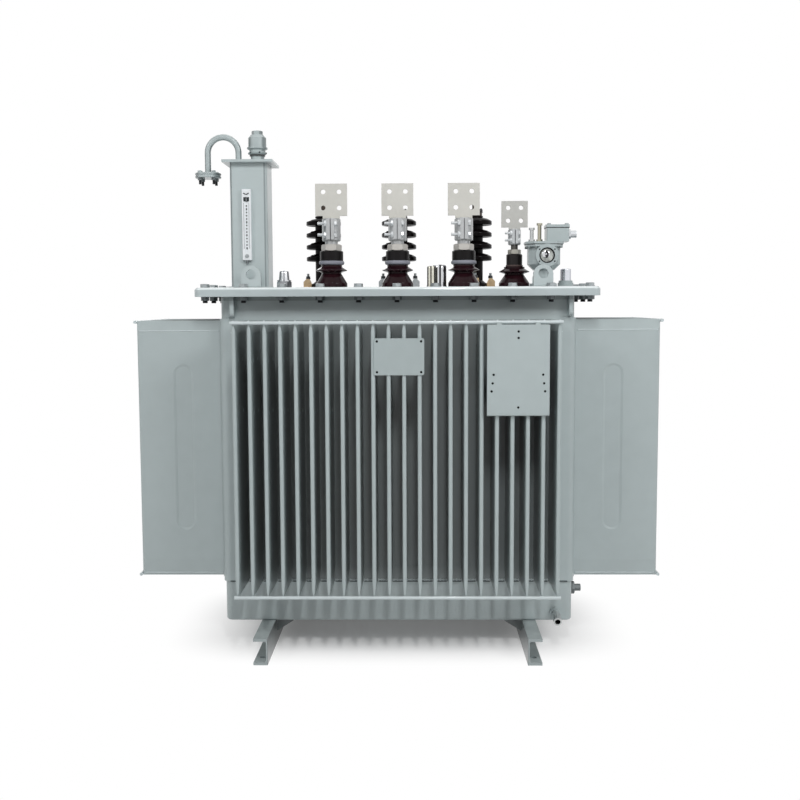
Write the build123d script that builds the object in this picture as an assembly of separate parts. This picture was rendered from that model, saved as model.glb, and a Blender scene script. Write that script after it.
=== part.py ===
from build123d import *
import os

# Oil-filled power transformer with a corrugated tank.
# X runs along the tank, the front faces minus Y, Z is up from the ground under the feet.

overrun = 10  # how far a cut runs past the faces that it pierces

# Base channels, one under each end, with their open side facing out
bolt_gauge_x = 820
bolt_gauge_y = 820
channel_height = 80
channel_width = 43
channel_web = 5
channel_flange = 8
channel_root_r = 5
channel_end = 50  # foot hole to the channel's end
foot_hole_d = 18
foot_hole_from_web = 22  # hole centre to the back of the web
brace_t = 8
brace_reach = 52  # along the tank bottom
brace_drop = 42  # down the web
brace_lip = 10  # upright edge at the free end
brace_setback = 30  # behind the lower box's front face

# Tank: lower box, body with its four corner strips, neck with the lid flange
tank_length = 1100
tank_width = 550
tank_corner_r = 22
tank_inset = 5  # lower box and neck stand this far inside the body
box_height = 127
box_edge_r = 8
wall_height = 823
neck_height = 73
flange_reach = 58
flange_t = 12
bracket_t = 12
bracket_reach = 36
bracket_height = 68
bracket_r = 14
bracket_from_end = 34  # tank end to the bracket's middle
rail_height = 26  # proud band round the foot of the neck
rail_t = 3
rail_from_end = 42

# Corrugated walls: a sheet with fins pinched to a thin edge at top and bottom
fin_pitch = 45
fin_t = 12
fin_edge_t = 3
fin_pinch = 50  # at the foot
fin_top_pinch = 32
fin_top_gap = 6  # below the top of the body
side_fin_lift = 9  # side sheets start this much above the front and back ones
front_fin_depth = 196
side_fin_depth = 265
sheet_t = 3
front_margin = 66  # least distance from the tank's end to the first fin
side_margin = 45
bead_width = 62
bead_height = 525
bead_depth = 2.5
bead_slope = 70
bead_from_wall_share = 0.46
bead_up_share = 0.506
rod_d = 10
rod_overhang = 9
rod_from_top = 4
rod_from_bottom = 3

# Lid: a pan whose rounded rim hangs over the flange
lid_t = 10
rim_drop = 18
rim_t = 8
rim_clearance = 2
lid_corner_r = 20
lid_edge_r = 10

# Lifting lugs, welded to the lid near its corners
front_lug_from_end = 170  # lid's end to the lug's middle
back_lug_from_end = 108
lug_from_side = 38
lug_width = 60
lug_t = 14
lug_height = 66
lug_hole_d = 30
lug_hole_up = 39

# Conservator column with its breather, relief valve and level gauge
column_x = -456
column_from_front = 152  # lid's front edge to the column's middle
column_width = 115
column_depth = 124
column_corner_r = 12
column_height = 381
cap_plate_overhang = 20
cap_plate_t = 8
pipe_d = 19
pipe_bend_r = 48
pipe_from_middle = 38  # rising leg to the column's middle
pipe_rise = 30  # straight part of the rising leg
pipe_fall = 62  # straight part of the falling leg, down to its flange
pipe_flange_d = 80
pipe_flange_t = 7
pipe_flange_bevel = 1.5
pipe_joint_t = 2
gauge_width = 28
gauge_length = 216
gauge_t = 12
gauge_from_middle = 5  # to the left
gauge_up = 84  # lid to the gauge's lower end
gauge_edge_r = 2
gauge_slot_width = 9
gauge_slot_length = 170
gauge_slot_depth = 3
gauge_spigot_d = 9
gauge_spigot_length = 10
valve_from_middle = 21
valve_seat_r = 21
valve_seat_h = 18
valve_gasket_r = 24
valve_gasket_h = 5
valve_ring_r = 29
valve_ring_h = 10
valve_ring_slope = 4
valve_groove_r = 25
valve_groove_h = 4
valve_collar_r = 32
valve_collar_h = 8
valve_body_r = 28
valve_body_h = 33
valve_body_edge = 3
valve_shoulder_r = 20
valve_shoulder_h = 6
valve_hex = 30  # across flats
valve_hex_h = 12

# Low-voltage bushings: skirted porcelain, sealing cap, nut, split clamp and flag
lv_from_front = 168
lv_pitch = 208
neutral_gap = 159  # last phase to the neutral
lv_skirt_r = 49
lv_skirt_rim = 14
lv_skirt_h = 44
lv_rim_round = 4
lv_waist_r = 30.5
lv_waist_h = 3
lv_shed_r = 48.5
lv_shed_t = 2.5
lv_shed_rise = 6
lv_shed_fall = 10
lv_tip_round = 1.2
lv_crown_r = 33
lv_crown_h = 6
lv_ring_r = 40
lv_ring_h = 13
lv_ring_round = 6
lv_cap_r = 36.5
lv_cap_h = 31
lv_cap_bevel = 3
lv_nut = 56  # across flats
lv_nut_h = 20
lv_stud_r = 20
lv_stud_gap = 10
lv_clamp_r = 29
lv_clamp_h = 71
lv_clamp_bevel = 3
lv_ear_width = 25
lv_ear_proud = 14  # in front of the clamp's round
lv_ear_inset = 4  # below the clamp's top and above its foot
lv_slit = 3
lv_tang_width = 54
lv_tang_h = 8
lv_flag = 100
lv_flag_t = 8
lv_flag_hole_d = 15
lv_flag_hole_pitch = 50
neutral_porcelain_share = 0.98
neutral_height_share = 0.88
neutral_ring_r = 27
neutral_ring_h = 6
neutral_ring_round = 2
neutral_cap_r = 25
neutral_cap_h = 34
neutral_nut = 36
neutral_nut_h = 14
neutral_stud_r = 11
neutral_stud_gap = 14
neutral_clamp_r = 20
neutral_clamp_h = 50
neutral_ear_width = 20
neutral_ear_proud = 10
neutral_tang_width = 36
neutral_tang_h = 5
neutral_flag = 82
neutral_flag_t = 8
neutral_flag_hole_d = 14
neutral_flag_hole_pitch = 40

# High-voltage bushings: a trunk with drooping sheds, held by four claws
hv_from_back = 208
hv_pitch = 258
hv_foot_r = 42
hv_foot_h = 18
hv_trunk_r = 29
hv_shed_count = 4
hv_shed_r = 59
hv_shed_pitch = 40
hv_shed_t = 10
hv_tip_round = 4.5
hv_dome_r = 47
hv_dome_h = 12
hv_dome_round = 12
hv_shed_droop = 7
hv_first_shed = 104  # lid to the lowest shed's tip
hv_head_h = 22
hv_cap_r = 26
hv_cap_h = 11
hv_nut = 30
hv_nut_h = 12
hv_stud_r = 8
hv_stud_h = 34
claw_count = 4
claw_width = 24
claw_toe = 8  # how far the claw reaches over the foot
claw_back = 28  # how far it stands outside the foot
claw_t = 17
claw_clearance = 0.3
claw_slope = 10  # cut off the outer top corner
hv_foot_slope = 10
seat_ring_t = 6

# Gas relay on its stub, with sight glass, cover, terminal box and test valves
relay_x = 454.5
relay_from_front = 133
relay_width = 98
relay_depth = 90
relay_corner = 24
relay_taper = 18
relay_up = 51  # lid to the underside of the body
relay_body_h = 72
relay_rim = 7  # flange outside the body
relay_cover_rim = 9.5
relay_flange_t = 8
relay_cover_t = 7
boss_r = 35
boss_t = 9
boss_offset = 5  # to the right of the body's middle
glass_r = 24
glass_t = 5
glass_up = 44.5  # underside of the body to the glass's middle
stub_r = 26
stub_flange_r = 42
stub_flange_t = 10
terminal_box_offset = 40.5
terminal_box_width = 69
terminal_box_depth = 66
terminal_box_h = 44
terminal_lid_t = 8
terminal_lid_overhang = 1.5
terminal_box_r = 4
gland_r = 11
gland_nut = 26
gland_nut_h = 9
gland_length = 26
gland_up_share = 0.55
test_valve_r = 6
test_valve_seat_r = 10
test_valve_seat_h = 8
test_valve_head_r = 9
test_valve_head_h = 7
test_valve_clear = 8.5  # last valve's head to the terminal box's lid
test_valve_pitch = 24
test_valve_heights = (44, 58)

# Thermometer pocket and filler caps on the lid
pocket_x = -355
pocket_from_front = 138
pocket_hex = 40
pocket_hex_h = 20
pocket_r = 17
pocket_tip_r = 14
pocket_h = 34
pocket_dome = 8
pocket_collar_r = 22
pocket_collar_h = 4
filler_x = 105.5
filler_from_front = 138
filler_radii = (13, 22)
filler_heights = (66, 71)
filler_flange = 1.5
filler_step_x = 26  # left cap to the right one
filler_step_y = 32
filler_flange_t = 5
filler_edge_share = 0.38
nut_slope_share = 0.577  # rise of a nut's corner bevel
thermo_from_end = 76
thermo_from_front = 228
thermo_flange_r = 25
thermo_flange_t = 14
thermo_neck_r = 22
thermo_neck_h = 7
thermo_r = 17
thermo_h = 38
thermo_edge_r = 4

# Plates fixed to the fins' tips
small_plate_x = 8
small_plate_drop = 99  # upper rod to the plate's middle
small_plate_width = 146
small_plate_height = 107
small_plate_t = 3
small_plate_r = 6
small_hole_d = 6
small_hole_inset = 9
large_plate_from_end = 198  # tank's end to the plate's middle
large_plate_width = 180
large_plate_height = 264
large_plate_t = 3
large_plate_fold = 14
large_plate_r = 4
large_bend_r = 5  # along the lower edge
large_plate_below_rod = 2
large_hole_d = 4
tab_width = 14
tab_pitch = 112
side_holes_share = ((0.396, -0.046), (0.412, -0.140), (0.428, -0.228))  # of the plate's width and height
middle_hole_rows_share = (0.425, 0.355, -0.405)

# Drain valve on the front of the lower box and plug on its right end
drain_from_end = 54
drain_up = 26  # above the lower box's bottom
drain_boss_r = 17
drain_boss_t = 12
drain_neck_r = 12
drain_neck = 26
drain_spout_r = 13
drain_spout = 36
drain_bore_r = 8.5
drain_bore = 22
drain_slope = 14
plug_from_front = 70
plug_up = 88
plug_collar = 36
plug_collar_t = 16
plug_hex = 20
plug_hex_t = 20

# Levels and reaches that follow from the sizes above
box_z = channel_height
wall_z = box_z + box_height
neck_z = wall_z + wall_height
flange_z = neck_z + neck_height
lid_z = flange_z + flange_t
lid_top = lid_z + lid_t
fin_top = neck_z - fin_top_gap
neck_length = tank_length - 2 * tank_inset
neck_width = tank_width - 2 * tank_inset
flange_length = neck_length + 2 * flange_reach
flange_width = neck_width + 2 * flange_reach
lid_length = flange_length + 2 * (rim_t + rim_clearance)
lid_width = flange_width + 2 * (rim_t + rim_clearance)
front_fin_count = int((tank_length - 2 * front_margin) / fin_pitch) + 1
side_fin_count = int((tank_width - 2 * side_margin) / fin_pitch) + 1
front_tip = tank_width / 2 + front_fin_depth
upper_rod_z = fin_top - rod_from_top
lid_front = -lid_width / 2
lid_end = lid_length / 2
lv_y = lid_front + lv_from_front
hv_y = -lid_front - hv_from_back
lv_xs = (-lv_pitch, 0, lv_pitch)
neutral_x = lv_pitch + neutral_gap
hv_xs = (-hv_pitch, 0, hv_pitch)


def block(x0, x1, y0, y1, z0, z1):
    middle = Pos((x0 + x1) / 2, (y0 + y1) / 2, (z0 + z1) / 2)
    return middle * Box(x1 - x0, y1 - y0, z1 - z0)


def slab(length, width, z0, z1):
    return block(-length / 2, length / 2, -width / 2, width / 2, z0, z1)


def post(radius, x, y, z0, z1):
    return Pos(x, y, (z0 + z1) / 2) * Cylinder(radius, z1 - z0)


def hex_post(across_flats, x, y, z0, z1):
    flats = RegularPolygon(across_flats / 2, 6, major_radius=False)
    return Pos(x, y, z0) * extrude(flats, z1 - z0)


def nut(across_flats, z0, z1):
    corner = across_flats / 3 ** 0.5
    rise = (corner - across_flats / 2) * nut_slope_share
    envelope = turned([(0, z0), (across_flats / 2, z0), (corner, z0 + rise), (corner, z1 - rise),
                       (across_flats / 2, z1), (0, z1)])
    return hex_post(across_flats, 0, 0, z0, z1) & envelope


def turned(outline, rounds=()):
    face = Polygon(*outline, align=None)
    for radius, corners in rounds:
        face = fillet([face.vertices().sort_by_distance((r, z, 0))[0] for r, z in corners], radius)
    return revolve(Plane.XZ * face, Axis.Z)


def rounded_uprights(shape, radius):
    return fillet(shape.edges().filter_by(Axis.Z), radius)


def save(shape, name):
    export_step(shape, f"parts/{name}.step")


# Base channels with the braces that steady the tank on them
def base_channel():
    back = bolt_gauge_x / 2 - foot_hole_from_web
    length = bolt_gauge_y + 2 * channel_end
    section = Pos(back + channel_width / 2, channel_height / 2) * Rectangle(channel_width, channel_height)
    gap_width = channel_width - channel_web
    gap_height = channel_height - 2 * channel_flange
    hollow = Rectangle(gap_width, gap_height)
    hollow = fillet(hollow.vertices().group_by(Axis.X)[0], channel_root_r)
    section -= Pos(back + channel_web + gap_width / 2, channel_height / 2) * hollow
    channel = Pos(0, length / 2, 0) * extrude(Plane.XZ * section, length)
    for side in (-1, 1):
        channel -= post(foot_hole_d / 2, bolt_gauge_x / 2, side * bolt_gauge_y / 2,
                        -overrun, channel_flange + overrun)
    outline = Polygon(
        (back, channel_height), (back - brace_reach, channel_height),
        (back - brace_reach, channel_height - brace_lip), (back, channel_height - brace_drop),
        align=None,
    )
    brace = extrude(Plane.XZ * outline, brace_t)
    front = neck_width / 2 - brace_setback
    return channel + Pos(0, -front + brace_t, 0) * brace + Pos(0, front, 0) * brace


# Lower box, body and neck of the tank
def lower_box():
    box = slab(neck_length, neck_width, box_z, wall_z)
    box = rounded_uprights(box, tank_corner_r)
    return fillet(box.faces().sort_by(Axis.Z)[0].edges(), box_edge_r)


def tank_body():
    return rounded_uprights(slab(tank_length, tank_width, wall_z, neck_z), tank_corner_r)


def neck():
    wall = rounded_uprights(slab(neck_length, neck_width, neck_z, flange_z), tank_corner_r)
    flange = slab(flange_length, flange_width, flange_z, lid_z)
    flange = rounded_uprights(flange, lid_corner_r - rim_t)
    outline = Rectangle(bracket_reach, bracket_height)
    outline = fillet(outline.vertices().group_by(Axis.X)[0].group_by(Axis.Y)[0], bracket_r)
    bracket = Pos(bracket_t / 2, 0, 0) * Rot(0, 0, 90) * extrude(Plane.XZ * outline, bracket_t)
    rail_reach = tank_length / 2 - rail_from_end
    rail = block(-rail_reach, rail_reach, -neck_width / 2 - rail_t, neck_width / 2 + rail_t,
                 neck_z, neck_z + rail_height)
    frame = wall + flange + rail
    for x_side in (-1, 1):
        for turn in (0, 180):
            x = x_side * (tank_length / 2 - bracket_from_end)
            y = -neck_width / 2 - bracket_reach / 2
            frame += Rot(0, 0, turn) * Pos(x, y, flange_z - bracket_height / 2) * bracket
    return frame


# Corrugated walls, drawn standing out along minus Y from the wall face at Y zero
def fin(depth, z0):
    half = fin_t / 2
    edge = fin_edge_t / 2
    right = [(edge, z0), (half, z0 + fin_pinch), (half, fin_top - fin_top_pinch), (edge, fin_top)]
    left = [(-x, z) for x, z in reversed(right)]
    pinched = extrude(Plane.XZ * Polygon(*right, *left, align=None), depth)
    straight = depth - half
    plan = Pos(0, -straight / 2) * Rectangle(fin_t, straight) + Pos(0, -straight) * Circle(half)
    return pinched & extrude(Plane.XY.offset(z0) * plan, fin_top - z0)


def fin_bead(depth, z0, side):
    middle = z0 + bead_up_share * (fin_top - z0)
    slot = SlotOverall(bead_height, bead_width, rotation=90)
    dent = extrude(slot, bead_depth, taper=bead_slope)
    turn = Rot(0, -90 * side, 0) * Rot(0, 0, 90)
    return Pos(side * fin_t / 2, -bead_from_wall_share * depth, middle) * turn * dent


def fin_wall(count, depth, z0):
    half = (count - 1) * fin_pitch / 2
    reach = half + fin_pitch / 2
    wall = block(-reach, reach, -sheet_t, 0, z0, fin_top)
    one = fin(depth, z0)
    wall += [Pos(-half + index * fin_pitch, 0, 0) * one for index in range(count)]
    for side in (-1, 1):
        wall -= Pos(side * half, 0, 0) * fin_bead(depth, z0, side)
    return wall


def fin_rods(count, depth, z0):
    length = (count - 1) * fin_pitch + 2 * rod_overhang
    rod = Rot(0, 90, 0) * Cylinder(rod_d / 2, length)
    y = -depth - rod_d / 2
    return [Pos(0, y, upper_rod_z) * rod, Pos(0, y, z0 + rod_from_bottom) * rod]


# Lid with its rounded rim, and a lifting lug
def lid():
    pan = slab(lid_length, lid_width, lid_z - rim_drop, lid_top)
    pan = rounded_uprights(pan, lid_corner_r)
    pan = fillet(pan.faces().sort_by(Axis.Z)[-1].edges(), lid_edge_r)
    pocket = slab(lid_length - 2 * rim_t, lid_width - 2 * rim_t, lid_z - rim_drop - overrun, lid_z)
    return pan - rounded_uprights(pocket, lid_corner_r - rim_t)


def lug():
    straight = lug_height - lug_width / 2
    outline = Pos(0, straight / 2) * Rectangle(lug_width, straight) + Pos(0, straight) * Circle(lug_width / 2)
    outline -= Pos(0, lug_hole_up) * Circle(lug_hole_d / 2)
    return Pos(0, lug_t / 2, 0) * extrude(Plane.XZ * outline, lug_t)


# Conservator column and what it carries
def column():
    tube = rounded_uprights(Pos(0, 0, column_height / 2) * Box(column_width, column_depth, column_height),
                            column_corner_r)
    plate = Pos(0, 0, column_height + cap_plate_t / 2) * Box(
        column_width + 2 * cap_plate_overhang, column_depth + 2 * cap_plate_overhang, cap_plate_t)
    return tube + plate


def breather_pipe():
    bend_z = column_height + cap_plate_t + pipe_rise
    x = -pipe_from_middle
    rising = Line((x, 0, column_height + cap_plate_t), (x, 0, bend_z))
    far = x - 2 * pipe_bend_r
    bend = ThreePointArc((x, 0, bend_z), (x - pipe_bend_r, 0, bend_z + pipe_bend_r), (far, 0, bend_z))
    falling = Line((far, 0, bend_z), (far, 0, bend_z - pipe_fall))
    start = Plane(origin=rising @ 0, z_dir=(0, 0, 1))
    tube = sweep(start * Circle(pipe_d / 2), path=Wire([rising, bend, falling]))
    return tube + flange_disc(far, bend_z - pipe_fall - pipe_flange_t)


def flange_disc(x, z):
    disc = post(pipe_flange_d / 2, x, 0, z, z + pipe_flange_t)
    return chamfer(disc.edges(), pipe_flange_bevel)


def breather_cover():
    far = -pipe_from_middle - 2 * pipe_bend_r
    z = column_height + cap_plate_t + pipe_rise - pipe_fall - pipe_flange_t
    joint = post(pipe_flange_d / 2 - pipe_joint_t, far, 0, z - pipe_joint_t, z)
    return joint + flange_disc(far, z - pipe_joint_t - pipe_flange_t)


def level_gauge():
    front = -column_depth / 2
    middle = gauge_up + gauge_length / 2
    body = block(-gauge_width / 2, gauge_width / 2, front - gauge_t, front,
                 gauge_up, gauge_up + gauge_length)
    body = fillet(body.faces().sort_by(Axis.Y)[0].edges(), gauge_edge_r)
    slot = Plane.XZ * SlotOverall(gauge_slot_length, gauge_slot_width, rotation=90)
    body -= Pos(0, front - gauge_t + gauge_slot_depth, middle) * extrude(slot, gauge_slot_depth + overrun)
    spigot = post(gauge_spigot_d / 2, 0, front - gauge_t / 2, gauge_up - gauge_spigot_length, gauge_up)
    return Pos(-gauge_from_middle, 0, 0) * (body + spigot)


def relief_valve():
    outline = [(0, 0), (valve_seat_r, 0), (valve_seat_r, valve_seat_h), (valve_gasket_r, valve_seat_h)]
    z = valve_seat_h + valve_gasket_h
    outline += [(valve_gasket_r, z), (valve_ring_r - valve_ring_slope, z)]
    outline += [(valve_ring_r, z + valve_ring_slope), (valve_ring_r, z + valve_ring_h - valve_ring_slope)]
    z += valve_ring_h
    outline += [(valve_groove_r, z), (valve_groove_r, z + valve_groove_h)]
    z += valve_groove_h
    outline += [(valve_collar_r, z + valve_collar_h / 2), (valve_collar_r, z + valve_collar_h)]
    z += valve_collar_h
    outline += [(valve_body_r, z), (valve_body_r, z + valve_body_h - valve_body_edge)]
    z += valve_body_h
    outline += [(valve_body_r - valve_body_edge, z), (valve_shoulder_r, z + valve_shoulder_h)]
    z += valve_shoulder_h
    outline += [(0, z)]
    base = column_height + cap_plate_t
    valve = turned(outline) + nut(valve_hex, z, z + valve_hex_h)
    return Pos(valve_from_middle, 0, base) * valve


# Bushings, each drawn with its foot at the origin
def lv_porcelain(share, height_share):
    shed_z = lv_skirt_h + lv_waist_h + lv_shed_rise
    crown_z = shed_z + lv_shed_t + lv_shed_fall
    outline = [
        (0, 0), (lv_skirt_r, 0), (lv_skirt_r, lv_skirt_rim), (lv_waist_r, lv_skirt_h),
        (lv_waist_r, lv_skirt_h + lv_waist_h), (lv_shed_r, shed_z), (lv_shed_r, shed_z + lv_shed_t),
        (lv_crown_r, crown_z), (lv_crown_r, crown_z + lv_crown_h), (0, crown_z + lv_crown_h),
    ]
    scaled = [(share * r, height_share * z) for r, z in outline]
    rounds = [(share * lv_rim_round, scaled[2:3]), (height_share * lv_tip_round, scaled[5:7])]
    return turned(scaled, rounds)


def lv_porcelain_height(height_share):
    return height_share * (lv_skirt_h + lv_waist_h + lv_shed_rise + lv_shed_t + lv_shed_fall + lv_crown_h)


def lv_seal(height_share, ring_r, ring_h, ring_round, cap_r, cap_h):
    z = lv_porcelain_height(height_share)
    ring = fillet(post(ring_r, 0, 0, z, z + ring_h).edges(), ring_round)
    cap = post(cap_r, 0, 0, z + ring_h, z + ring_h + cap_h)
    return ring + chamfer(cap.faces().sort_by(Axis.Z)[-1].edges(), lv_cap_bevel)


def lv_terminal(z, nut_across, nut_h, stud_r, stud_gap, clamp_r, clamp_h, ear_width, ear_proud,
                tang_width, tang_h, flag, flag_t, hole_d, hole_pitch):
    clamp_z = z + nut_h + stud_gap
    clamp_top = clamp_z + clamp_h
    clamp = chamfer(post(clamp_r, 0, 0, clamp_z, clamp_top).edges(), lv_clamp_bevel)
    clamp += block(-ear_width / 2, ear_width / 2, -clamp_r - ear_proud, 0,
                   clamp_z + lv_ear_inset, clamp_top - lv_ear_inset)
    clamp -= block(-lv_slit / 2, lv_slit / 2, -clamp_r - ear_proud - overrun, -stud_r + lv_slit,
                   clamp_z - overrun, clamp_top + overrun)
    flag_z = clamp_top + tang_h
    plate = block(-tang_width / 2, tang_width / 2, -flag_t / 2, flag_t / 2, clamp_top, flag_z)
    face = Rectangle(flag, flag)
    for x_side in (-1, 1):
        for z_side in (-1, 1):
            face -= Pos(x_side * hole_pitch / 2, z_side * hole_pitch / 2) * Circle(hole_d / 2)
    plate += Pos(0, flag_t / 2, flag_z + flag / 2) * extrude(Plane.XZ * face, flag_t)
    return nut(nut_across, z, z + nut_h) + post(stud_r, 0, 0, z + nut_h, clamp_z) + clamp + plate


def hv_porcelain():
    outline = [(0, 0), (hv_foot_r, 0), (hv_foot_r, hv_foot_h), (hv_trunk_r, hv_foot_h + hv_foot_slope)]
    tips = []
    domes = []
    for index in range(hv_shed_count):
        tip = hv_first_shed + index * hv_shed_pitch
        edge = [(hv_shed_r, tip - hv_shed_t / 2), (hv_shed_r, tip + hv_shed_t / 2)]
        dome = (hv_dome_r, tip + hv_dome_h)
        outline += [(hv_trunk_r, tip), *edge, dome, (hv_trunk_r, tip + hv_shed_droop + hv_shed_t)]
        tips += edge
        domes += [dome]
    top = tip + hv_head_h
    outline += [(hv_trunk_r, top), (0, top)]
    return turned(outline, [(hv_tip_round, tips), (hv_dome_round, domes)])


def hv_height():
    return hv_first_shed + (hv_shed_count - 1) * hv_shed_pitch + hv_head_h


def hv_terminal():
    z = hv_height()
    cap = post(hv_cap_r, 0, 0, z, z + hv_cap_h)
    top_nut = nut(hv_nut, z + hv_cap_h, z + hv_cap_h + hv_nut_h)
    stud = post(hv_stud_r, 0, 0, z + hv_cap_h + hv_nut_h, z + hv_cap_h + hv_stud_h)
    return cap + top_nut + stud


def hv_clamp():
    inner = hv_foot_r + claw_clearance
    outer = hv_foot_r + claw_back
    ring = post(outer, 0, 0, 0, seat_ring_t) - post(inner, 0, 0, -overrun, seat_ring_t + overrun)
    toe_z = hv_foot_h + claw_clearance
    outline = Polygon(
        (inner, 0), (outer, 0), (outer, toe_z + claw_t - claw_slope), (outer - claw_slope, toe_z + claw_t),
        (inner + claw_toe, toe_z + claw_t), (inner, toe_z),
        align=None,
    )
    claw = Pos(0, claw_width / 2, 0) * extrude(Plane.XZ * outline, claw_width)
    return ring + [Rot(0, 0, index * 360 / claw_count) * claw for index in range(claw_count)]


# Gas relay, drawn with the lid at Z zero
def relay_base():
    flange = post(stub_flange_r, 0, 0, 0, stub_flange_t)
    return flange + post(stub_r, 0, 0, stub_flange_t, relay_up)


def relay_body():
    flange_z = relay_up + relay_body_h
    body = Pos(0, 0, relay_up + relay_body_h / 2) * Box(relay_width, relay_depth, relay_body_h)
    body = chamfer(body.edges().filter_by(Axis.Z), relay_corner)
    body = chamfer(body.faces().sort_by(Axis.Z)[0].edges(), relay_taper)
    body += relay_plate(flange_z, relay_flange_t, relay_rim)
    glass_z = relay_up + glass_up
    front = -relay_depth / 2
    boss = Pos(boss_offset, front - boss_t, glass_z) * Rot(-90, 0, 0)
    body += boss * Cylinder(boss_r, boss_t, align=(Align.CENTER, Align.CENTER, Align.MIN))
    return body - boss * Cylinder(glass_r, boss_t, align=(Align.CENTER, Align.CENTER, Align.MIN))


def relay_plate(z, thickness, rim):
    plate = Pos(0, 0, z + thickness / 2) * Box(relay_width + 2 * rim, relay_depth + 2 * rim, thickness)
    return chamfer(plate.edges().filter_by(Axis.Z), relay_corner)


def relay_glass():
    seat = Pos(boss_offset, -relay_depth / 2, relay_up + glass_up) * Rot(90, 0, 0)
    return seat * Cylinder(glass_r, glass_t, align=(Align.CENTER, Align.CENTER, Align.MIN))


def relay_cover():
    z = relay_up + relay_body_h + relay_flange_t
    cover = relay_plate(z, relay_cover_t, relay_cover_rim)
    top = z + relay_cover_t
    box_edge = terminal_box_offset - terminal_box_width / 2 - terminal_lid_overhang
    last = box_edge - test_valve_clear - test_valve_head_r
    for x, height in zip((last - test_valve_pitch, last), test_valve_heights):
        stem = post(test_valve_r, x, 0, top, top + height)
        seat = post(test_valve_seat_r, x, 0, top, top + test_valve_seat_h)
        head = post(test_valve_head_r, x, 0, top + height - test_valve_head_h, top + height)
        cover += stem + seat + head
    return cover


def terminal_box():
    base = relay_up + relay_body_h + relay_flange_t + relay_cover_t
    top = base + terminal_box_h
    x0 = terminal_box_offset - terminal_box_width / 2
    x1 = terminal_box_offset + terminal_box_width / 2
    half = terminal_box_depth / 2
    box = rounded_uprights(block(x0, x1, -half, half, base, top), terminal_box_r)
    over = terminal_lid_overhang
    box += rounded_uprights(block(x0 - over, x1 + over, -half - over, half + over, top, top + terminal_lid_t),
                            terminal_box_r)
    along = Pos(x1, 0, base + gland_up_share * terminal_box_h) * Rot(0, 90, 0)
    return box + along * (nut(gland_nut, 0, gland_nut_h) + post(gland_r, 0, 0, 0, gland_length))


# Pocket and caps on the lid
def pocket():
    top = pocket_hex_h + pocket_h
    foot = pocket_hex_h + pocket_collar_h
    outline = [(0, pocket_hex_h), (pocket_collar_r, pocket_hex_h), (pocket_collar_r, foot), (pocket_r, foot),
               (pocket_tip_r, top), (0, top)]
    return nut(pocket_hex, 0, pocket_hex_h) + turned(outline, [(pocket_dome, outline[4:5])])


def filler_cap(radius, height):
    cap = post(radius, 0, 0, filler_flange_t, height)
    cap = fillet(cap.faces().sort_by(Axis.Z)[-1].edges(), filler_edge_share * radius)
    return cap + post(radius + filler_flange, 0, 0, 0, filler_flange_t)


def thermo_cap():
    neck_top = thermo_flange_t + thermo_neck_h
    cap = post(thermo_r, 0, 0, neck_top, neck_top + thermo_h)
    cap = fillet(cap.faces().sort_by(Axis.Z)[-1].edges(), thermo_edge_r)
    return (post(thermo_flange_r, 0, 0, 0, thermo_flange_t)
            + post(thermo_neck_r, 0, 0, thermo_flange_t, neck_top) + cap)


# Plates on the fins, drawn with their backs at Y zero
def small_plate():
    face = RectangleRounded(small_plate_width, small_plate_height, small_plate_r)
    for x_side in (-1, 1):
        for z_side in (-1, 1):
            x = x_side * (small_plate_width / 2 - small_hole_inset)
            z = z_side * (small_plate_height / 2 - small_hole_inset)
            face -= Pos(x, z) * Circle(small_hole_d / 2)
    return extrude(Plane.XZ * face, small_plate_t)


def large_plate():
    half_width = large_plate_width / 2
    half_height = large_plate_height / 2
    tray = block(-half_width, half_width, -large_plate_fold, 0, -half_height, half_height)
    tray = fillet(tray.edges().filter_by(Axis.Y).group_by(Axis.Z)[-1], large_plate_r)
    tray = fillet(tray.edges().filter_by(Axis.X).group_by(Axis.Z)[0].sort_by(Axis.Y)[0], large_bend_r)
    tray -= block(-half_width + large_plate_t, half_width - large_plate_t,
                  -large_plate_fold + large_plate_t, overrun,
                  -half_height + large_plate_t, half_height - large_plate_t)
    spots = [(0, share * large_plate_height) for share in middle_hole_rows_share]
    for x_side in (-1, 1):
        for across, up in side_holes_share:
            spots.append((x_side * across * large_plate_width, up * large_plate_height))
    for x, z in spots:
        hole = Rot(90, 0, 0) * Cylinder(large_hole_d / 2, large_plate_t + 2 * overrun)
        tray -= Pos(x, -large_plate_fold + large_plate_t / 2, z) * hole
    for x_side in (-1, 1):
        x = x_side * tab_pitch / 2
        tray += block(x - tab_width / 2, x + tab_width / 2, -large_plate_fold, -rod_d,
                      half_height, half_height + large_plate_below_rod + rod_d / 2)
    return tray


# Drain valve and plug, drawn on a face at Y zero with the outlet towards minus Y
def drain_valve():
    forward = Rot(90, 0, 0)
    boss = forward * post(drain_boss_r, 0, 0, 0, drain_boss_t)
    neck_end = drain_boss_t + drain_neck
    neck_part = forward * post(drain_neck_r, 0, 0, drain_boss_t, neck_end)
    droop = Pos(0, -neck_end, 0) * Rot(90 + drain_slope, 0, 0)
    spout = droop * (post(drain_spout_r, 0, 0, 0, drain_spout)
                     - post(drain_bore_r, 0, 0, drain_spout - drain_bore, drain_spout + overrun))
    return boss + neck_part + Pos(0, -neck_end, 0) * Sphere(drain_neck_r) + spout


def drain_plug():
    forward = Rot(90, 0, 0)
    head = nut(plug_hex, plug_collar_t, plug_collar_t + plug_hex_t)
    return forward * (nut(plug_collar, 0, plug_collar_t) + head)


os.makedirs("parts", exist_ok=True)

# Base and tank
right_channel = base_channel()
save(right_channel, "base_channel_right")
save(Rot(0, 0, 180) * right_channel, "base_channel_left")
save(lower_box(), "tank_lower_box")
save(tank_body(), "tank_body")
save(neck(), "tank_neck")
save(lid(), "lid")

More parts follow.
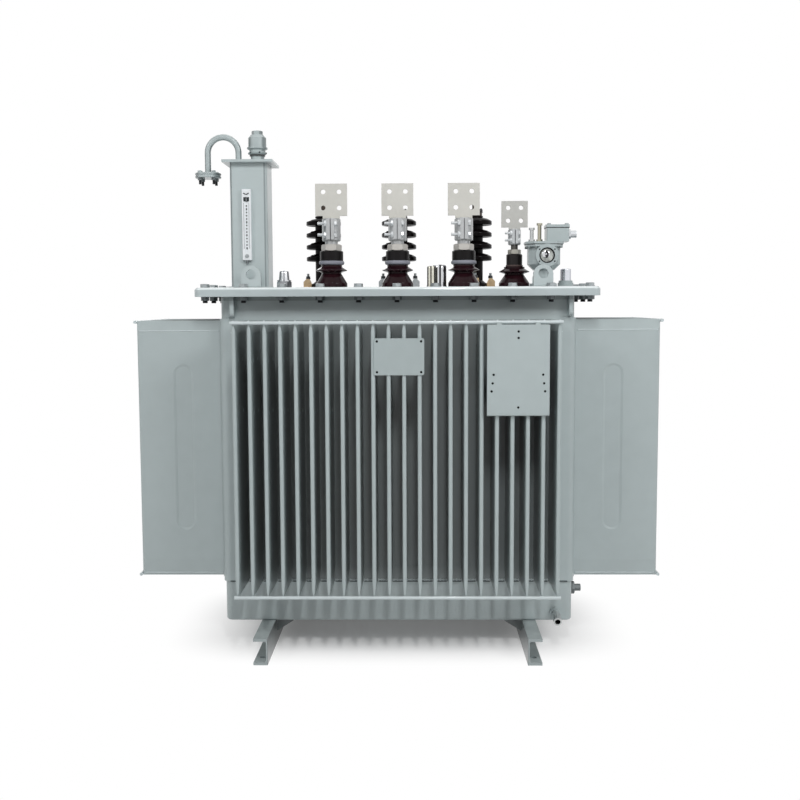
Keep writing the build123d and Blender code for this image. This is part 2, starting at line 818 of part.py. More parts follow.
# Fin walls and their tie rods
walls = (
    ("front", 0, tank_width / 2, front_fin_count, front_fin_depth, wall_z),
    ("back", 180, tank_width / 2, front_fin_count, front_fin_depth, wall_z),
    ("left", -90, tank_length / 2, side_fin_count, side_fin_depth, wall_z + side_fin_lift),
    ("right", 90, tank_length / 2, side_fin_count, side_fin_depth, wall_z + side_fin_lift),
)
for name, turn, reach, count, depth, bottom in walls:
    place = Rot(0, 0, turn) * Pos(0, -reach, 0)
    save(place * fin_wall(count, depth, bottom), f"{name}_fin_wall")
    save(Compound([place * rod for rod in fin_rods(count, depth, bottom)]), f"{name}_fin_rods")

# Lid fittings
for y_name, y_side, from_end in (("front", -1, front_lug_from_end), ("back", 1, back_lug_from_end)):
    for x_name, x_side in (("left", -1), ("right", 1)):
        x = x_side * (lid_end - from_end)
        y = y_side * (lid_width / 2 - lug_from_side)
        save(Pos(x, y, lid_top) * lug(), f"lifting_lug_{y_name}_{x_name}")

on_column = Pos(column_x, lid_front + column_from_front, lid_top)
save(on_column * column(), "conservator_column")
save(on_column * breather_pipe(), "breather_pipe")
save(on_column * breather_cover(), "breather_cover")
save(on_column * level_gauge(), "level_gauge")
save(on_column * relief_valve(), "relief_valve")

phase_seal_top = lv_porcelain_height(1) + lv_ring_h + lv_cap_h
neutral_seal_top = lv_porcelain_height(neutral_height_share) + neutral_ring_h + neutral_cap_h
phase_porcelain = lv_porcelain(1, 1)
phase_seal = lv_seal(1, lv_ring_r, lv_ring_h, lv_ring_round, lv_cap_r, lv_cap_h)
phase_terminal = lv_terminal(
    phase_seal_top, lv_nut, lv_nut_h, lv_stud_r, lv_stud_gap, lv_clamp_r, lv_clamp_h, lv_ear_width,
    lv_ear_proud, lv_tang_width, lv_tang_h, lv_flag, lv_flag_t, lv_flag_hole_d, lv_flag_hole_pitch)
for letter, x in zip("abc", lv_xs):
    place = Pos(x, lv_y, lid_top)
    save(place * phase_porcelain, f"lv_porcelain_{letter}")
    save(place * phase_seal, f"lv_seal_{letter}")
    save(place * phase_terminal, f"lv_terminal_{letter}")

place = Pos(neutral_x, lv_y, lid_top)
save(place * lv_porcelain(neutral_porcelain_share, neutral_height_share), "neutral_porcelain")
save(place * lv_seal(neutral_height_share, neutral_ring_r, neutral_ring_h, neutral_ring_round,
                     neutral_cap_r, neutral_cap_h), "neutral_seal")
save(place * lv_terminal(
    neutral_seal_top, neutral_nut, neutral_nut_h, neutral_stud_r, neutral_stud_gap, neutral_clamp_r,
    neutral_clamp_h, neutral_ear_width, neutral_ear_proud, neutral_tang_width, neutral_tang_h, neutral_flag,
    neutral_flag_t, neutral_flag_hole_d, neutral_flag_hole_pitch), "neutral_terminal")

for letter, x in zip("abc", hv_xs):
    place = Pos(x, hv_y, lid_top)
    save(place * hv_porcelain(), f"hv_porcelain_{letter}")
    save(place * hv_terminal(), f"hv_terminal_{letter}")
    save(place * hv_clamp(), f"hv_clamp_{letter}")

on_relay = Pos(relay_x, lid_front + relay_from_front, lid_top)
save(on_relay * relay_base(), "relay_base")
save(on_relay * relay_body(), "relay_body")
save(on_relay * relay_glass(), "relay_sight_glass")
save(on_relay * relay_cover(), "relay_cover")
save(on_relay * terminal_box(), "relay_terminal_box")

save(Pos(pocket_x, lid_front + pocket_from_front, lid_top) * pocket(), "thermometer_pocket")
thermo_x = lid_end - thermo_from_end
save(Pos(thermo_x, lid_front + thermo_from_front, lid_top) * thermo_cap(), "thermostat_cap")
for name, index in (("left", 0), ("right", 1)):
    cap = filler_cap(filler_radii[index], filler_heights[index])
    x = filler_x + index * filler_step_x
    y = lid_front + filler_from_front + index * filler_step_y
    save(Pos(x, y, lid_top) * cap, f"filler_cap_{name}")

# Plates, drain valve and plug
save(Pos(small_plate_x, -front_tip, upper_rod_z - small_plate_drop) * small_plate(), "small_plate")
large_plate_z = upper_rod_z - rod_d / 2 - large_plate_below_rod - large_plate_height / 2
large_plate_x = tank_length / 2 - large_plate_from_end
save(Pos(large_plate_x, -front_tip, large_plate_z) * large_plate(), "large_plate")
drain_x = neck_length / 2 - drain_from_end
save(Pos(drain_x, -neck_width / 2, box_z + drain_up) * drain_valve(), "drain_valve")
plug_y = -neck_width / 2 + plug_from_front
save(Pos(neck_length / 2, plug_y, box_z + plug_up) * Rot(0, 0, 90) * drain_plug(), "drain_plug")
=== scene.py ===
import math

import bmesh
import bpy
from mathutils import Matrix, Vector


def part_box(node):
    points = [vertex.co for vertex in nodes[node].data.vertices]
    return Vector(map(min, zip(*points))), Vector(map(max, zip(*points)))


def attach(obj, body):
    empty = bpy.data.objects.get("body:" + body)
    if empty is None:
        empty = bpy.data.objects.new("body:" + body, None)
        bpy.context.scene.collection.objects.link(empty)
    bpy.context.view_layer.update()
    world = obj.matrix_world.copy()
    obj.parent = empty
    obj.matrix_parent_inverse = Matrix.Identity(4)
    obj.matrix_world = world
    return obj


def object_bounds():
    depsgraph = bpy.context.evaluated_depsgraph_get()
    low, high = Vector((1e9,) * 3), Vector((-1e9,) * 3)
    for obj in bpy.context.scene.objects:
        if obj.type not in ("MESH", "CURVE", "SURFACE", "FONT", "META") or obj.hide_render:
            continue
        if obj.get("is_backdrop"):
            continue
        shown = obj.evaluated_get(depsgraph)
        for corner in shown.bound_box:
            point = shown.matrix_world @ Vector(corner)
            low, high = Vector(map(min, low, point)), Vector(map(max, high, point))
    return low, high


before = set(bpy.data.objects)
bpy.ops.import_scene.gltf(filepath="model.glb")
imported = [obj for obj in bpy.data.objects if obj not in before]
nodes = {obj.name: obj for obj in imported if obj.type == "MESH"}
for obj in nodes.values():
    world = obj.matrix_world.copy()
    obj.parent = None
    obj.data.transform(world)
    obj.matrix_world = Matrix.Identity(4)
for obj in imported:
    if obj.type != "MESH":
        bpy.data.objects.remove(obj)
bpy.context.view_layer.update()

scene = bpy.context.scene
print("frame loaded,", len(nodes), "nodes")


# Shader maths: a socket that adds, multiplies and compares
class Wire:
    def __init__(self, tree, socket=None):
        self.tree = tree
        self.socket = socket

    def join(self, value, target):
        if isinstance(value, Wire):
            self.tree.links.new(value.socket, target)
        else:
            target.default_value = value

    def make(self, kind, settings, sockets, out=0):
        made = self.tree.nodes.new(kind)
        for key, value in settings.items():
            setattr(made, key, value)
        for key, value in sockets.items():
            self.join(value, made.inputs[key])
        return Wire(self.tree, made.outputs[out])

    def maths(self, operation, first, second):
        return self.make("ShaderNodeMath", {"operation": operation}, {0: first, 1: second})

    def __add__(self, other):
        return self.maths("ADD", self, other)

    def __radd__(self, other):
        return self.maths("ADD", other, self)

    def __sub__(self, other):
        return self.maths("SUBTRACT", self, other)

    def __rsub__(self, other):
        return self.maths("SUBTRACT", other, self)

    def __mul__(self, other):
        return self.maths("MULTIPLY", self, other)

    def __rmul__(self, other):
        return self.maths("MULTIPLY", other, self)

    def __gt__(self, other):
        return self.maths("GREATER_THAN", self, other)

    def __lt__(self, other):
        return self.maths("LESS_THAN", self, other)

    def blend(self, low, high):
        return self.make("ShaderNodeMix", {"data_type": "RGBA"}, {0: self, 6: low, 7: high}, 2)

    def ease(self, low, high):
        return self.make("ShaderNodeMapRange", {"interpolation_type": "SMOOTHSTEP"},
                         {0: self, 1: low, 2: high, 3: 0.0, 4: 1.0})


# A tone from 0 to 255, as the shader's linear colour
def linear(tone, level=1.0):
    parts = []
    for value in tone:
        share = value / 255
        parts.append(level * (share / 12.92 if share <= 0.04045 else ((share + 0.055) / 1.055) ** 2.4))
    return (*parts, 1.0)


# What a finish has unless its look says otherwise
plain = dict(
    shift=0.2, cloudScale=30.0, mottleScale=200.0, roughSpread=0.2, metal=0.0, gloss=0.5, coat=0.0, coatRough=0.06,
    grain=0.1, grainScale=900.0, grainDepth=0.0004, reflectionStripes=0.0, paintedShade=None, bands=(), dustAndSheen=0.0)
# How the layers of every finish are mixed
mixing = dict(
    cloud=0.6, mottle=0.4, share=(0.3, 0.7), reflectionStripeEase=(0.1, 0.7), band=(0.93, 1.07), dustAndSheenLift=(0.5, 1.0),
    dustAndSheenScale=38.0, dustAndSheenRough=0.12)


# One finish: a mottled tone, uneven gloss, fine grain, painted reflection stripes, painted shade inwards, bands of
# other tones by height or side, and dust with painted sheen on upward faces
def makeFinish(name, changes):
    look = {**plain, **changes}
    material = bpy.data.materials.new(name)
    material.use_nodes = True
    tree = material.node_tree
    tree.nodes.clear()
    output = tree.nodes.new("ShaderNodeOutputMaterial")
    shader = tree.nodes.new("ShaderNodeBsdfPrincipled")
    tree.links.new(shader.outputs[0], output.inputs[0])
    wire = Wire(tree)
    place = wire.make("ShaderNodeTexCoord", {}, {}, "Object")
    axes = {axis: wire.make("ShaderNodeSeparateXYZ", {}, {0: place}, axis) for axis in "XYZ"}

    def noise(scale, detail=3.0):
        return wire.make("ShaderNodeTexNoise", {}, {"Vector": place, "Scale": scale, "Detail": detail}, 0)

    def facing(axis):
        side = wire.make("ShaderNodeNewGeometry", {}, {}, "Normal")
        return wire.make("ShaderNodeSeparateXYZ", {}, {0: side}, axis)

    cloud = noise(look["cloudScale"])
    mottle = noise(look["mottleScale"], 5.0)
    share = (cloud * mixing["cloud"] + mottle * mixing["mottle"]).ease(*mixing["share"])

    def mottled(tone, low, high):
        return share.blend(linear(tone, low), linear(tone, high))

    tone = mottled(look["tone"], 1 - look["shift"], 1 + look["shift"])
    # Painted reflection: stripes of another tone, set by how far the surface faces sideways
    if look["reflectionStripes"]:
        wave = wire.maths("SINE", facing("X") * look["reflectionStripes"] + look["reflectionStripeStart"], 0.0)
        tone = wave.ease(*mixing["reflectionStripeEase"]).blend(tone, linear(look["reflectionStripeTone"]))
    # Painted shade: the tone darkens inwards along one axis, within a limit across another
    paintedShade = look["paintedShade"]
    if paintedShade:
        shadeInward = wire.maths("ABSOLUTE", axes[paintedShade["along"]], 0.0).ease(paintedShade["start"], paintedShade["stop"])
        within = wire.maths("ABSOLUTE", axes[paintedShade["across"]], 0.0) < paintedShade["limit"]
        tone = (shadeInward * within).blend(tone, linear(look["tone"], paintedShade["level"]))
    rough = look["rough"] + (mottle - 0.5) * look["roughSpread"]
    metal = look["metal"]
    for band in look["bands"]:
        inside = None
        for axis, low, high in band["where"]:
            test = (axes[axis] > low) * (axes[axis] < high)
            inside = test if inside is None else inside * test
        tone = inside.blend(tone, mottled(band["tone"], *mixing["band"]))
        rough = rough + inside * (band["rough"] - rough)
        metal = metal + inside * (band["metal"] - metal)
    # Dust and painted sheen: upward faces take a paler tone in patches
    if look["dustAndSheen"]:
        lift = facing("Z").ease(*mixing["dustAndSheenLift"])
        tone = (lift * look["dustAndSheen"] * noise(mixing["dustAndSheenScale"])).blend(tone, linear(look["dustAndSheenTone"]))
        rough = rough + lift * mixing["dustAndSheenRough"]
    grain = wire.make("ShaderNodeBump", {}, {"Strength": look["grain"], "Distance": look["grainDepth"],
                                             "Height": noise(look["grainScale"], 2.0)}, 0)
    for label, value in (("Base Color", tone), ("Roughness", rough), ("Metallic", metal),
                         ("Coat Weight", look["coat"]), ("Coat Roughness", look["coatRough"]),
                         ("Specular IOR Level", look["gloss"]), ("Normal", grain)):
        wire.join(value, shader.inputs[label])
    return material


def band(tone, rough, metal, *where):
    return {"tone": tone, "rough": rough, "metal": metal, "where": where}


# Where the tone changes on a piece, measured from its own ends
edges = dict(
    sealRim=0.013, neutralRim=0.006, nutTop=0.0202, clampTop=0.101, neutralNut=0.0142, neutralStem=0.0282,
    neutralClamp=0.0782, middleClaws=0.1, capFoot=0.021, gaugeFoot=0.0098, coverTop=0.0072, coverSplit=0.025,
    spoutEnd=0.055, valveGasket=0.018, gasketHeight=0.005, boxEnd=0.0262, lidHighlightWidth=0.0062, neckShadeDepth=0.012,
    channelWidth=0.043, webShadeFrom=0.0016, webShadeTo=0.0004)
far = 9.0
lidLow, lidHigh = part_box("lid")
lidTop = lidHigh.z
lidHighlightWidth = edges["lidHighlightWidth"]
capFoot = lidTop + edges["capFoot"]
clawsEnd = edges["middleClaws"]
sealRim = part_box("lv_seal_a")[0].z + edges["sealRim"]
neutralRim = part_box("neutral_seal")[0].z + edges["neutralRim"]
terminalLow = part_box("lv_terminal_a")[0].z
nutTop = terminalLow + edges["nutTop"]
clampTop = terminalLow + edges["clampTop"]
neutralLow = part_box("neutral_terminal")[0].z
neutralNut = neutralLow + edges["neutralNut"]
neutralStem = neutralLow + edges["neutralStem"]
neutralClamp = neutralLow + edges["neutralClamp"]
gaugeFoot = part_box("level_gauge")[0].z + edges["gaugeFoot"]
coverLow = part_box("relay_cover")[0].z
coverTop = coverLow + edges["coverTop"]
relayMid = (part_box("relay_cover")[0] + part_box("relay_cover")[1]) / 2
coverSplit = relayMid.x - edges["coverSplit"]
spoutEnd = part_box("drain_valve")[0].y + edges["spoutEnd"]
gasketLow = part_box("relief_valve")[0].z + edges["valveGasket"]
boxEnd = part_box("relay_terminal_box")[1].x - edges["boxEnd"]
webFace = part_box("base_channel_right")[1].x - edges["channelWidth"]  # inner side of the web
# Strips along the lid's upper edge, painted paler as a highlight
lidHighlightSides = [("X", -far, lidLow.x + lidHighlightWidth), ("X", lidHigh.x - lidHighlightWidth, far), ("Y", -far, lidLow.y + lidHighlightWidth),
            ("Y", lidHigh.y - lidHighlightWidth, far)]

looks = {
    "paint": dict(tone=(169, 180, 181), rough=0.36, shift=0.035, cloudScale=2.3, mottleScale=21.0, roughSpread=0.1,
        coat=0.35, grain=0.12, grainScale=420.0, dustAndSheen=0.45, dustAndSheenTone=(206, 212, 210)),
    "glaze": dict(tone=(37, 17, 22), rough=0.08, gloss=0.11, shift=0.3, cloudScale=14.0, mottleScale=90.0,
        roughSpread=0.03, coat=0.07, grain=0.05, grainScale=160.0),
    "seal": dict(tone=(14, 11, 12), rough=0.36, gloss=0.12, mottleScale=160.0, roughSpread=0.16, coat=0.06,
        grain=0.2, grainScale=700.0, bands=[band((138, 140, 150), 0.5, 0.0, ("Z", -far, sealRim))]),
    "tinned": dict(tone=(198, 197, 191), rough=0.5, metal=0.12, gloss=0.3, shift=0.035, cloudScale=9.0,
        mottleScale=60.0, grain=0.12, bands=[
            band((190, 187, 182), 0.4, 0.2, ("Z", -far, nutTop)),
            band((180, 182, 183), 0.29, 0.55, ("Z", nutTop, clampTop))]),
    "brass": dict(tone=(66, 58, 52), rough=0.34, metal=0.7, cloudScale=40.0),
    "claw": dict(tone=(192, 168, 134), rough=0.42, metal=0.45, shift=0.12, cloudScale=40.0, grain=0.2,
        grainScale=600.0, bands=[band((176, 180, 182), 0.38, 0.5, ("X", -clawsEnd, clawsEnd))]),
    # Chrome: the dark stripes down its round sides are painted reflections
    "chrome": dict(tone=(214, 215, 218), rough=0.12, metal=0.95, reflectionStripes=8.5, reflectionStripeStart=0.9,
        reflectionStripeTone=(58, 58, 60), shift=0.04, mottleScale=220.0, roughSpread=0.08, grain=0.04),
    "gauge": dict(tone=(231, 235, 238), rough=0.32, shift=0.03, cloudScale=20.0, mottleScale=160.0, roughSpread=0.1,
        coat=0.25, grain=0.05, grainScale=500.0, bands=[band((92, 98, 101), 0.4, 0.2, ("Z", -far, gaugeFoot))]),
    "sight": dict(tone=(158, 162, 158), rough=0.2, metal=0.3, shift=0.5, cloudScale=46.0, mottleScale=120.0,
        roughSpread=0.1, coat=0.9, grain=0.3, grainScale=70.0, grainDepth=0.002),
    "darkSteel": dict(tone=(58, 60, 63), rough=0.4, metal=0.5, cloudScale=40.0, mottleScale=260.0, grain=0.2),
    "zinc": dict(tone=(158, 164, 166), rough=0.36, metal=0.55, shift=0.12),
    "boltZinc": dict(tone=(208, 211, 213), rough=0.3, metal=0.45, shift=0.08, cloudScale=60.0, mottleScale=260.0),
    "nutSteel": dict(tone=(104, 110, 112), rough=0.36, metal=0.15, gloss=0.4),
    "relaySteel": dict(tone=(128, 135, 136), rough=0.4, metal=0.2, shift=0.12),
    "thread": dict(tone=(42, 44, 46), rough=0.45, metal=0.4, cloudScale=40.0, mottleScale=260.0, grain=0.3),
    "ink": dict(tone=(48, 52, 54), rough=0.5, gloss=0.2, shift=0.15, cloudScale=60.0, mottleScale=300.0,
        roughSpread=0.1, grain=0.05),
    "gasket": dict(tone=(18, 19, 20), rough=0.6, gloss=0.15, cloudScale=40.0, mottleScale=260.0, roughSpread=0.1,
        grain=0.2),
}
# Finishes that take after another one
variants = {
    "darkGlaze": ("glaze", dict(tone=(14, 10, 11), rough=0.09, gloss=0.05, coat=0.04)),
    "neutralSeal": ("seal", dict(tone=(25, 21, 21), rough=0.42, gloss=0.16, coat=0.1,
        bands=[band((84, 70, 68), 0.5, 0.0, ("Z", -far, neutralRim))])),
    "neutralTinned": ("tinned", dict(tone=(182, 182, 178), bands=[
        band((165, 163, 155), 0.38, 0.5, ("Z", -far, neutralNut)),
        band((86, 84, 81), 0.4, 0.6, ("Z", neutralNut, neutralStem)),
        band((184, 187, 189), 0.3, 0.55, ("Z", neutralStem, neutralClamp))])),
    # The chrome variants keep painted reflection stripes in their own tones
    "pocketChrome": ("chrome", dict(tone=(226, 228, 231), rough=0.14, metal=0.6, reflectionStripeTone=(152, 154, 158))),
    "capChrome": ("chrome", dict(tone=(222, 224, 230), rough=0.18, metal=0.8, reflectionStripes=3.0, reflectionStripeStart=4.57,
        reflectionStripeTone=(186, 188, 195), bands=[band((169, 180, 181), 0.36, 0.0, ("Z", -far, capFoot))])),
    "oldChrome": ("chrome", dict(tone=(214, 212, 199), rough=0.2, metal=0.9, reflectionStripes=7.0, reflectionStripeStart=2.2,
        reflectionStripeTone=(72, 70, 64), shift=0.1, roughSpread=0.14, grain=0.05)),
    "softInk": ("ink", dict(tone=(148, 152, 156), gloss=0.5, shift=0.1)),
    "seamShade": ("gasket", dict(tone=(76, 83, 84), gloss=0.2)),
    "relayPaint": ("paint", dict(bands=[
        band((188, 190, 190), 0.26, 0.8, ("Z", coverTop, far), ("X", -far, coverSplit)),
        band((174, 170, 153), 0.22, 0.85, ("Z", coverTop, far), ("X", coverSplit, far))])),
    "spoutPaint": ("paint", dict(bands=[band((186, 189, 189), 0.22, 0.7, ("Y", -far, spoutEnd))])),
    # Relief valve: painted reflection stripes down its round sides, over a dark gasket band
    "valvePaint": ("paint", dict(reflectionStripes=math.pi, reflectionStripeStart=-math.pi / 2, reflectionStripeTone=(122, 132, 133),
        bands=[band((22, 24, 24), 0.5, 0.0, ("Z", gasketLow, gasketLow + edges["gasketHeight"]))])),
    "boxPaint": ("paint", dict(bands=[band((200, 203, 206), 0.25, 0.75, ("X", boxEnd, far))])),
    # Breather pipe: painted reflection stripes down its round sides
    "roundPaint": ("paint", dict(reflectionStripes=math.pi, reflectionStripeStart=-math.pi / 2, reflectionStripeTone=(116, 126, 127))),
    # Column: a paler copy of the paint as painted highlight, with painted reflection stripes down its rounded
    # corners
    "columnPaint": ("paint", dict(tone=(175, 186, 187), reflectionStripes=2 * math.pi, reflectionStripeStart=-0.63,
        reflectionStripeTone=(126, 136, 138))),
    # A paler copy of the paint as painted highlight, for the rods, fin foot welds, rod welds and creases
    "rodPaint": ("paint", dict(tone=(196, 206, 208), dustAndSheenTone=(226, 231, 231))),
    # Lid: a paler copy of the paint, strong pale dust and sheen on top, and pale edge strips, all partly painted
    # highlight
    "lidPaint": ("paint", dict(tone=(177, 188, 190), coat=0.8, dustAndSheen=0.9, dustAndSheenTone=(228, 233, 233), bands=[
        band((230, 238, 239), 0.34, 0.0, ("Z", lidTop - lidHighlightWidth, far), side) for side in lidHighlightSides])),
    # Lifting lugs: a paler copy of the paint, as painted highlight on their edges
    "lugPaint": ("paint", dict(tone=(180, 191, 192), coat=0.5)),
    # Fin walls: painted shade, darkening the paint from the fin tips towards the roots
    "frontFinPaint": ("paint", dict(paintedShade=dict(along="Y", start=0.455, stop=0.36, across="X", limit=0.4725,
        level=0.48))),
    "sideFinPaint": ("paint", dict(paintedShade=dict(along="X", start=0.785, stop=0.66, across="Y", limit=0.225,
        level=0.48))),
    # Base channels: a darker copy of the paint and a darker inner web face, both painted shade
    "footPaint": ("paint", dict(tone=(156, 166, 167), paintedShade=dict(along="X", start=webFace + edges["webShadeFrom"],
        stop=webFace + edges["webShadeTo"], across="Y", limit=far, level=0.42))),
    # Neck: painted shade in a darker band just under the lid
    "neckPaint": ("paint", dict(bands=[band((140, 150, 151), 0.4, 0.0, ("Z", lidLow.z - edges["neckShadeDepth"], far))])),
    "smallPlatePaint": ("paint", dict(tone=(161, 172, 173))),
}
for name, (base, changes) in variants.items():
    looks[name] = {**looks[base], **changes}
finishes = {name: makeFinish(name, look) for name, look in looks.items()}

# Which finish a node wears, by the first of these that its name holds; all others are painted
wears = {
    "relay_cover": "relayPaint", "relay_terminal_box": "boxPaint", "drain_valve": "spoutPaint",
    "base_channel": "footPaint", "tank_neck": "neckPaint", "small_plate": "smallPlatePaint",
    "relief_valve": "valvePaint", "relay_sight_glass": "sight", "level_gauge": "gauge", "drain_plug": "nutSteel",
    "thermometer_pocket": "pocketChrome", "thermostat_cap": "capChrome", "filler_cap_left": "oldChrome",
    "filler_cap_right": "chrome", "hv_porcelain": "darkGlaze", "porcelain": "glaze", "neutral_seal": "neutralSeal",
    "lv_seal": "seal", "neutral_terminal": "neutralTinned", "lv_terminal": "tinned", "hv_terminal": "brass",
    "hv_clamp": "claw", "breather": "roundPaint", "conservator_column": "columnPaint", "fin_rods": "rodPaint",
    "lid": "lidPaint", "lifting_lug": "lugPaint", "front_fin_wall": "frontFinPaint",
    "back_fin_wall": "frontFinPaint", "left_fin_wall": "sideFinPaint", "right_fin_wall": "sideFinPaint",
}
for name, node in nodes.items():
    finish = next((finish for part, finish in wears.items() if part in name), "paint")
    node.data.materials.clear()
    node.data.materials.append(finishes[finish])
print("finishes made,", len(finishes))


# Small hardware, turned or drawn about its own Z axis
def turnedMesh(name, rings, sides=6, twist=0.0):
    shape = bmesh.new()
    loops = []
    for radius, height in rings:
        if radius < 1e-6:
            loops.append([shape.verts.new((0, 0, height))])
            continue
        loop = []
        for index in range(sides):
            angle = twist + 2 * math.pi * index / sides
            loop.append(shape.verts.new((radius * math.cos(angle), radius * math.sin(angle), height)))
        loops.append(loop)
    for below, above in zip(loops, loops[1:]):
        for index in range(sides):
            after = (index + 1) % sides
            if len(below) == 1:
                shape.faces.new((below[0], above[after], above[index]))
            elif len(above) == 1:
                shape.faces.new((below[index], below[after], above[0]))
            else:
                shape.faces.new((below[index], below[after], above[after], above[index]))
    if rings[0] == rings[-1]:  # a closed ring, without end faces
        bmesh.ops.remove_doubles(shape, verts=shape.verts, dist=1e-6)
        return finishMesh(name, shape)
    if len(loops[0]) > 1:
        shape.faces.new(list(reversed(loops[0])))
    if len(loops[-1]) > 1:
        shape.faces.new(loops[-1])
    return finishMesh(name, shape)


def finishMesh(name, shape):
    mesh = bpy.data.meshes.new(name)
    bmesh.ops.recalc_face_normals(shape, faces=shape.faces)
    shape.to_mesh(mesh)
    shape.free()
    for face in mesh.polygons:
        face.use_smooth = True
    mesh.set_sharp_from_angle(angle=math.radians(32))
    return mesh


def joinMeshes(name, meshes):
    shape = bmesh.new()
    for mesh in meshes:
        shape.from_mesh(mesh)
    return finishMesh(name, shape)


hexShape = dict(bevel=0.6, top=0.98, washerEdge=0.0006)


def hexHead(across, height, washer=0.0, washerHeight=0.0):
    corner = across / math.sqrt(3)
    bevel = (corner - across / 2) * hexShape["bevel"]
    parts = [turnedMesh("hex", [(corner, washerHeight), (corner, washerHeight + height - bevel),
                                (across / 2 * hexShape["top"], washerHeight + height)], 6, math.pi / 6)]
    if washer:
        edge = hexShape["washerEdge"]
        parts.append(turnedMesh("washer", [(washer - edge, 0.0), (washer, edge), (washer, washerHeight)], 20))
    return joinMeshes("hexHead", parts)


threadShape = dict(root=0.86, rootAt=0.25, crestAt=0.7, end=0.8)


def threadEnd(radius, length, pitch):
    rings = [(radius, 0.0)]
    count = max(2, int(length / pitch))
    for index in range(count):
        low = index * length / count
        rings += [(radius * threadShape["root"], low + threadShape["rootAt"] * length / count),
                  (radius, low + threadShape["crestAt"] * length / count)]
    rings += [(radius * threadShape["end"], length)]
    return turnedMesh("thread", rings, 12)


# A new node group with named inputs, their identifiers and their sockets
def openGroup(name, inputs):
    group = bpy.data.node_groups.new(name, "GeometryNodeTree")
    marks = {}
    for label, kind in inputs.items():
        socket = group.interface.new_socket(label, in_out="INPUT", socket_type="NodeSocket" + kind)
        marks[label] = socket.identifier
    group.interface.new_socket("Geometry", in_out="OUTPUT", socket_type="NodeSocketGeometry")
    source = group.nodes.new("NodeGroupInput")
    return group, marks, {label: Wire(group, source.outputs[label]) for label in inputs}


def closeGroup(wire, geometry, finish):
    dressed = wire.make("GeometryNodeSetMaterial", {}, {"Geometry": geometry, "Material": finish})
    wire.join(dressed, wire.tree.nodes.new("NodeGroupOutput").inputs[0])


# One node group that sets a piece on every point of a mesh, turned and sized by the point's attributes
def spotGroup():
    group, marks, given = openGroup("setOnPoints", {"Geometry": "Geometry", "Piece": "Object", "Spin": "Float",
                                                    "Seed": "Int", "Finish": "Material"})
    wire = Wire(group)
    piece = wire.make("GeometryNodeObjectInfo", {"transform_space": "ORIGINAL"}, {"Object": given["Piece"]},
                      "Geometry")
    turn, size = [wire.make("GeometryNodeInputNamedAttribute", {"data_type": "FLOAT_VECTOR"}, {"Name": label}, 0)
                  for label in ("turn", "size")]
    chance = wire.make("FunctionNodeRandomValue", {"data_type": "FLOAT"},
                       {2: 0.0, 3: given["Spin"], "Seed": given["Seed"]}, 1)
    spin = wire.make("ShaderNodeCombineXYZ", {}, {"Z": chance})
    facing = wire.make("FunctionNodeEulerToRotation", {}, {0: turn})
    twist = wire.make("FunctionNodeEulerToRotation", {}, {0: spin})
    turned = wire.make("FunctionNodeRotateRotation", {"rotation_space": "LOCAL"}, {0: facing, 1: twist})
    field = wire.make("GeometryNodeInstanceOnPoints", {}, {
        "Points": given["Geometry"], "Instance": piece, "Rotation": turned, "Scale": size})
    real = wire.make("GeometryNodeRealizeInstances", {}, {"Geometry": field})
    closeGroup(wire, real, given["Finish"])
    return group, marks


# One node group that lays overlapping weld ripples along the edges of a mesh
def weldGroup():
    group, marks, given = openGroup("weldRuns", {"Geometry": "Geometry", "Pitch": "Float", "Radius": "Float",
                                                 "Spread": "Float", "Seed": "Int", "Finish": "Material"})
    wire = Wire(group)
    run = wire.make("GeometryNodeMeshToCurve", {}, {0: given["Geometry"]})
    even = wire.make("GeometryNodeResampleCurve", {"mode": "LENGTH"}, {"Curve": run, "Length": given["Pitch"]})
    along = wire.make("GeometryNodeInputTangent", {}, {})
    facing = wire.make("FunctionNodeAlignRotationToVector", {"axis": "Z"}, {"Vector": along})
    ball = wire.make("GeometryNodeMeshIcoSphere", {}, {"Radius": given["Radius"], "Subdivisions": 2})
    thick = wire.make("FunctionNodeRandomValue", {"data_type": "FLOAT"},
                      {2: 1.0 - given["Spread"], 3: 1.0 + given["Spread"], "Seed": given["Seed"]}, 1)
    size = wire.make("ShaderNodeCombineXYZ", {}, {"X": thick, "Y": thick, "Z": 0.62})
    beads = wire.make("GeometryNodeInstanceOnPoints", {}, {
        "Points": even, "Instance": ball, "Rotation": facing, "Scale": size})
    real = wire.make("GeometryNodeRealizeInstances", {}, {"Geometry": beads})
    smooth = wire.make("GeometryNodeSetShadeSmooth", {}, {0: real})
    closeGroup(wire, smooth, given["Finish"])
    return group, marks


setOnPoints, spotMarks = spotGroup()
weldRuns, weldMarks = weldGroup()


# Runs a node group on a mesh and keeps the result as a piece of the part
def settle(name, mesh, group, marks, values):
    base = bpy.data.objects.new(name, mesh)
    scene.collection.objects.link(base)
    field = base.modifiers.new("field", "NODES")
    field.node_group = group
    for label, value in values.items():
        field[marks[label]] = value
    graph = bpy.context.evaluated_depsgraph_get()
    result = bpy.data.meshes.new_from_object(base.evaluated_get(graph), preserve_all_data_layers=True,
                                             depsgraph=graph)
    base.modifiers.clear()
    base.data = result
    result.name = name
    for extra in ("turn", "size"):
        if extra in result.attributes:
            result.attributes.remove(result.attributes[extra])
    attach(base, "root")


